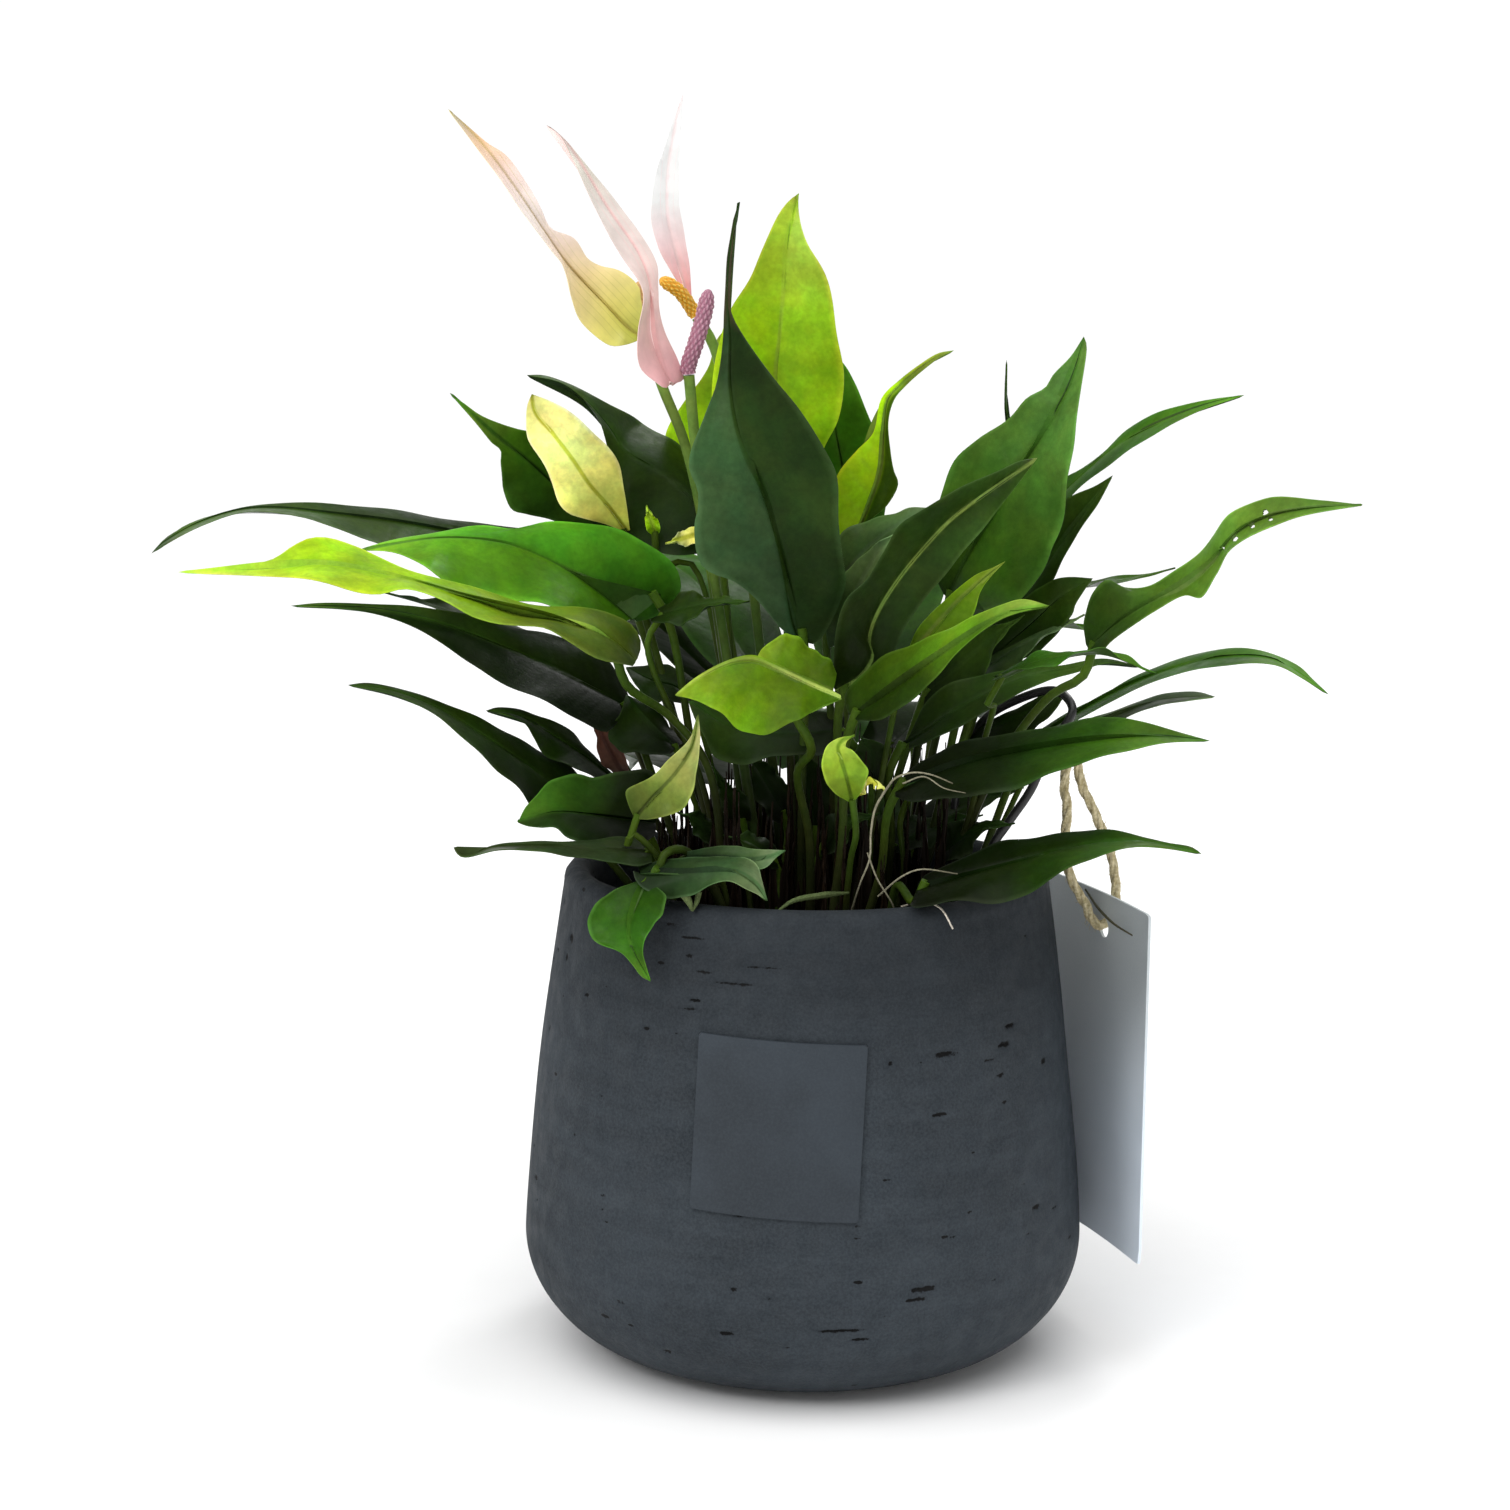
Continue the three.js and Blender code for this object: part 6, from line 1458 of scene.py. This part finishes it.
def makeTag(material):
    # Rings run from the hole's edge out to the card's edge along straight rays. Distance to the card's edge
    # = the nearer of the upright and the level edges along the ray, with the corners cut round.
    rings, rays = 24, 288
    left, right = -tag["hole"], tag["width"] - tag["hole"]
    low, high = -(tag["height"] - tag["holeDrop"]), tag["holeDrop"]
    a = np.linspace(0, 2 * np.pi, rays, endpoint=False)
    c, s = np.cos(a), np.sin(a)
    far = np.minimum(np.where(c > 0, right, -left) / np.maximum(np.abs(c), 1e-9),
                     np.where(s > 0, high, -low) / np.maximum(np.abs(s), 1e-9))
    edge = np.stack([far * c, far * s], -1)
    k = tag["corner"]
    inner = np.stack([np.clip(edge[:, 0], left + k, right - k), np.clip(edge[:, 1], low + k, high - k)], -1)
    over = edge - inner
    size = np.linalg.norm(over, axis=1, keepdims=True)
    edge = inner + over * np.minimum(1, k / np.maximum(size, 1e-9))
    hole = tag["holeRadius"] * np.stack([c, s], -1)
    share = np.linspace(0, 1, rings)[:, None, None] ** 1.15
    flat = hole[None] + (edge - hole)[None] * share
    u = flat[..., 0] + tag["hole"]
    heading = math.radians(tag["heading"])
    sides = []
    for out in (tag["thickness"] / 2, -tag["thickness"] / 2):
        bow = tag["bow"] * np.sin(np.pi * u / tag["width"]) + out
        x = tag["nearX"] + u * math.cos(heading) + bow * math.sin(heading)
        y = tag["nearY"] + u * math.sin(heading) - bow * math.cos(heading)
        z = tag["bottom"] + tag["height"] - tag["holeDrop"] + flat[..., 1]
        sides.append(np.stack([x, y, z], -1).reshape(-1, 3))
    front = gridFaces(rings, rays, closed=True)[:, ::-1]
    back = front[:, ::-1] + rings * rays
    ring = np.arange(rays)
    after = np.roll(ring, -1)
    lip = np.stack([ring, after, after + rings * rays, ring + rings * rays], 1)
    rim = np.stack([after, ring, ring + rings * rays, after + rings * rays], 1) + (rings - 1) * rays
    return newPiece("tagSheet", np.concatenate(sides), [front, back, lip, rim], material,
                    ["swing_tag"])


# Twine and hoop

twine = dict(
    ply=0.78,  # radius of one of its three plies
    spread=0.46,  # from the twine's middle to a ply's
    pitch=15.0,  # mm along for one turn of the plies
    hairs=90,
    path=[(65.9, 157, -3), (64.9, 149, -4), (64, 141.5, -4), (64.9, 136, -3), (64.7, 130, -2),
          (65.7, 120, -1), (68, 115, 0), (70.2, 111.5, 2.5), (71.8, 107.9, 4.2), (73.8, 106.4, 5),
          (75.8, 107.4, 6), (77.4, 110, 7.4), (77.6, 115.6, 8.5), (76, 125, 8), (73.5, 131, 6),
          (71.3, 136, 4), (68.5, 141.5, 1), (66.9, 148, -0.6)],
)
hoop = dict(
    radius=1.1,
    nearFoot=(41, -10),
    farFoot=(37, 19),
    footHeights=(89, 104.2),  # from its end in the soil to just over it
    path=[(46, 125, -10), (50.5, 132.4, -10), (55.8, 140.6, -9), (60, 151, -7), (65.6, 160.5, -4),
          (61.5, 165.2, 2), (52, 163, 9), (43, 157, 16), (38, 146, 19), (36.5, 128, 19)],
)


def makeTwineFinish():
    material, tree, surface = newMaterial("juteFibre", Specular_IOR_Level=0.2)
    strands = mottle(tree, 900, 5, rough=0.7)
    base = blend(tree, strands, paint("a4966c"), paint("e0d4b0"))
    base = blend(tree, 1.0, base, attribute(tree, "tone"), "MULTIPLY")
    coat(tree, surface, base, ramp(tree, strands, 0, 1, 0.8, 0.95))
    raised(tree, surface, noise(tree, 2600, 3, 0.7), 0.5, 0.0003)
    return material


def makeTwine(material):
    # Radius about the middle at angle b from the nearest ply
    # = spread * cos b + root(ply^2 - (spread * sin b)^2)
    rings, sides = 420, 42
    t = np.linspace(0, 1, rings)
    line, heading, length = smoothLine(seen(twine["path"]), t)
    run = t * length
    a = np.linspace(0, 2 * np.pi, sides, endpoint=False)[None, :]
    b = np.mod(a + np.pi / 3, 2 * np.pi / 3) - np.pi / 3
    d, ply = twine["spread"], twine["ply"]
    r = d * np.cos(b) + np.sqrt(ply**2 - (d * np.sin(b)) ** 2)
    fuzz = 1 + 0.05 * np.sin(9 * a + 2.1 * run[:, None]) + 0.03 * np.sin(5 * a - 4.7 * run[:, None])
    grid = sweptRings(line, heading, r * fuzz, sides, turn=run * 2 * np.pi / twine["pitch"])
    # Painted shade: darker in the grooves between the plies, lighter on their crowns
    tone = np.broadcast_to((0.7 + 0.3 * (r - r.min()) / np.ptp(r))[..., None], (rings, sides, 3))
    parts = [(grid.reshape(-1, 3), [gridFaces(rings, sides, closed=True), capFaces(rings, sides)])]
    tones = [tone.reshape(-1, 3)]
    for k in chance.integers(6, rings - 6, twine["hairs"]):
        outward = unit(np.cross(heading[k], chance.normal(size=3)))
        start = line[k] + outward * 0.9
        tip = start + outward * chance.uniform(0.5, 1.6) + heading[k] * chance.uniform(-2.4, 2.4)
        middle = (start + tip) / 2 + outward * 0.5
        points, faces, _ = tube([start, middle, tip], (0.07, 0.06, 0.03), sides=3, rings=6)
        parts.append((points, faces))
        tones.append(np.full((len(points), 3), 0.95))
    points, faces = joined(parts)
    piece = newPiece("twineLoop", points, faces, material, ["tag_twine"],
                     dict(tone=np.concatenate(tones)), smooth=60)
    return piece, line, length


def makeHoop(material):
    rise = [(*hoop["nearFoot"], z) for z in hoop["footHeights"]]
    fall = [(*hoop["farFoot"], z) for z in hoop["footHeights"][::-1]]
    points, faces, _ = tube([*rise, *seen(hoop["path"]), *fall], hoop["radius"], sides=20, rings=220)
    return newPiece("hoopWire", points, faces, material, ["wire_hoop"])


def makeWireFinish():
    material, tree, surface = newMaterial("coatedWire", Specular_IOR_Level=0.5)
    base = blend(tree, mottle(tree, 200, 3), paint("141414"), paint("232323"))
    coat(tree, surface, base, mottle(tree, 260, 3, 0.3, 0.45))
    raised(tree, surface, noise(tree, 900, 2), 0.08, 0.0002)
    return material


# Roots, dry scraps and fibres

# (across, up, back) along each, then its radii
roots = [
    ([(19.4, 139.8, -47), (17, 135.3, -49), (16, 129.3, -50), (15.8, 122.7, -50), (13.4, 116, -47),
      (10.6, 106, -38)], (0.3, 0.22, 0.2, 0.25)),
    ([(19.4, 139.8, -47), (22, 143, -50), (26.4, 144.4, -52), (30.8, 143.9, -53), (36.2, 141.8, -53)],
      (0.28, 0.2, 0.15)),
    ([(15.2, 124, -50), (17.6, 117.8, -49), (21.6, 111.2, -46), (23, 107, -42)], (0.2, 0.2, 0.2)),
    ([(18, 113, -46), (23.7, 118, -48), (28.6, 120, -50), (37.9, 119, -51)], (0.22, 0.2, 0.15)),
    ([(23.7, 141.6, -51), (29, 143.4, -52), (34, 140.6, -53), (39.5, 139.4, -53)], (0.2, 0.15, 0.12)),
]
paleRoots = [
    ([(24, 110.5, -40), (29, 111.8, -47), (34, 110, -53.5), (37, 105, -55.5)], (0.22, 0.26, 0.2)),
]
lowScrap = [
    ([(-7, 109, -50), (-3.4, 111.5, -48), (3.6, 113, -44), (10.6, 113.8, -38)], (0.3, 0.7, 0.8, 0.3)),
    ([(-31, 113.5, -54), (-29.5, 111, -55), (-28.6, 108.7, -55)], (1.3, 0.9, 0.3)),
    ([(-27, 113.5, -53), (-27.5, 111, -54), (-28.6, 108.7, -55)], (0.8, 0.6, 0.3)),
]
tagFibre = [([(70, 115.5, 13.5), (73.4, 110.7, 3.5), (77.2, 107, -5), (82, 104, -15)], (0.25, 0.35, 0.2))]


def makeStrands(name, strands, material, tones):
    parts, shades = [], []
    for route, radii in strands:
        points, faces, t = tube(seen(route), radii, sides=8, rings=40)
        wobble = 0.12 * np.sin(np.arange(len(points))[:, None] * [0.37, 0.53, 0.29])
        parts.append((points + wobble * min(radii), faces))
        shades.append(np.repeat(painted(tones, t), 8, axis=0))
    points, faces = joined(parts)
    return newPiece(name, points, faces, material, (), dict(tone=np.concatenate(shades)))


def makeRootFinish():
    material, tree, surface = newMaterial("rootBark", Specular_IOR_Level=0.25)
    colour = shaded(tree, attribute(tree, "tone"), mottle(tree, 1500, 4, 0.7, 1.25, 0.7))
    coat(tree, surface, colour, mottle(tree, 500, 3, 0.7, 0.9))
    raised(tree, surface, noise(tree, 1800, 4, 0.7), 0.4, 0.0004)
    return material


# Floor, light and air

studio = dict(
    overhead=0.4,  # grey of the air overhead
    sun=2.3,
    sunSpread=70.0,  # degrees, for soft shadows
    sunFrom=(-0.25, -0.7, 2.0),
    lamps=[
        # name, place in metres, size, power in watts
        ("keyLamp", (-0.9, -1.0, 1.0), 0.5, 5),
        ("rimLamp", (0.5, 0.9, 1.2), 0.6, 5),
    ],
)


def addLamp(name, lamp, place):
    holder = bpy.data.objects.new(name, lamp)
    scene.collection.objects.link(holder)
    back = unit(np.array(place) - [0, 0, 0.15])
    right = unit(np.cross([0, 0, 1.0], back))
    turn = np.eye(4)
    turn[:3, 0], turn[:3, 1], turn[:3, 2], turn[:3, 3] = right, np.cross(back, right), back, place
    holder.matrix_world = Matrix(turn.tolist())


def makeStudio():
    side = 6.0
    corners = [(-side, -side, 0), (side, -side, 0), (side, side, 0), (-side, side, 0)]
    mesh = bpy.data.meshes.new("floorSheet")
    mesh.from_pydata(corners, [], [(0, 1, 2, 3)])
    floor = bpy.data.objects.new("floorSheet", mesh)
    scene.collection.objects.link(floor)
    material, tree, surface = newMaterial("floorPaper", Specular_IOR_Level=0.2, Roughness=0.8)
    paper = blend(tree, mottle(tree, 30, 3), (0.95, 0.95, 0.95), (0.97, 0.97, 0.97))
    tree.links.new(paper, surface.inputs["Base Color"])
    mesh.materials.append(material)
    # The air is white by the horizon, where it is the backdrop, and greyer overhead
    world = bpy.data.worlds.new("studioAir")
    world.use_nodes = True
    tree = world.node_tree
    height = node(tree, "SeparateXYZ", {0: node(tree, "TexCoord").outputs["Generated"]}).outputs[2]
    shade = ramp(tree, height, 0.12, 0.4, 1.04, studio["overhead"])
    colour = node(tree, "CombineColor", {0: shade, 1: shade, 2: shade}).outputs[0]
    tree.links.new(colour, tree.nodes["Background"].inputs[0])
    scene.world = world
    sun = bpy.data.lights.new("softSun", "SUN")
    sun.energy = studio["sun"]
    sun.angle = math.radians(studio["sunSpread"])
    addLamp("softSun", sun, studio["sunFrom"])
    for name, place, size, power in studio["lamps"]:
        lamp = bpy.data.lights.new(name, "AREA")
        lamp.shape = "DISK"
        lamp.size = size
        lamp.energy = power
        addLamp(name, lamp, place)
    scene.view_settings.view_transform = "Standard"
    scene.view_settings.look = "None"
    scene.view_settings.exposure = 0.0


makeCamera()
print("camera ready")

juteFinish = makeTwineFinish()
twinePiece, twineLine, twineLength = makeTwine(juteFinish)
makeTag(makeCardFinish())
print(f"twine ready, {twineLength:.0f} mm")

finishes = dict(leaf=makeLeafFinish(), spathe=makeSpatheFinish(), spadix=makeSpadixFinish())
for nodeName, leaves in shoots.items():
    makeShoot(nodeName, leaves, finishes["leaf"])
print(f"{len(shoots)} leaf shoots ready")
for number, bloom in enumerate(blooms, 1):
    makeBloom(number, bloom, finishes)
print("blooms ready")
makePot(makePotFinish())
makeGrowPot(makePlasticFinish())
makeSoil(makeSoilFinish())
makeSticker(makeStickerFinish())
makeHoop(makeWireFinish())
print("pot, soil, sticker and hoop ready")
rootFinish = makeRootFinish()
makeStrands("dryRoots", roots, rootFinish, ("7c7864", "8e8a74", "5e5a48"))
makeStrands("paleRoots", paleRoots, rootFinish, ("c9bfae", "d8d0c2"))
makeStrands("lowScrap", lowScrap, rootFinish, ("5c6c40", "4a5630"))
makeStrands("tagFibre", tagFibre, rootFinish, ("4a4a3a", "5c5844"))
makeStudio()
print("roots, floor and lights ready")
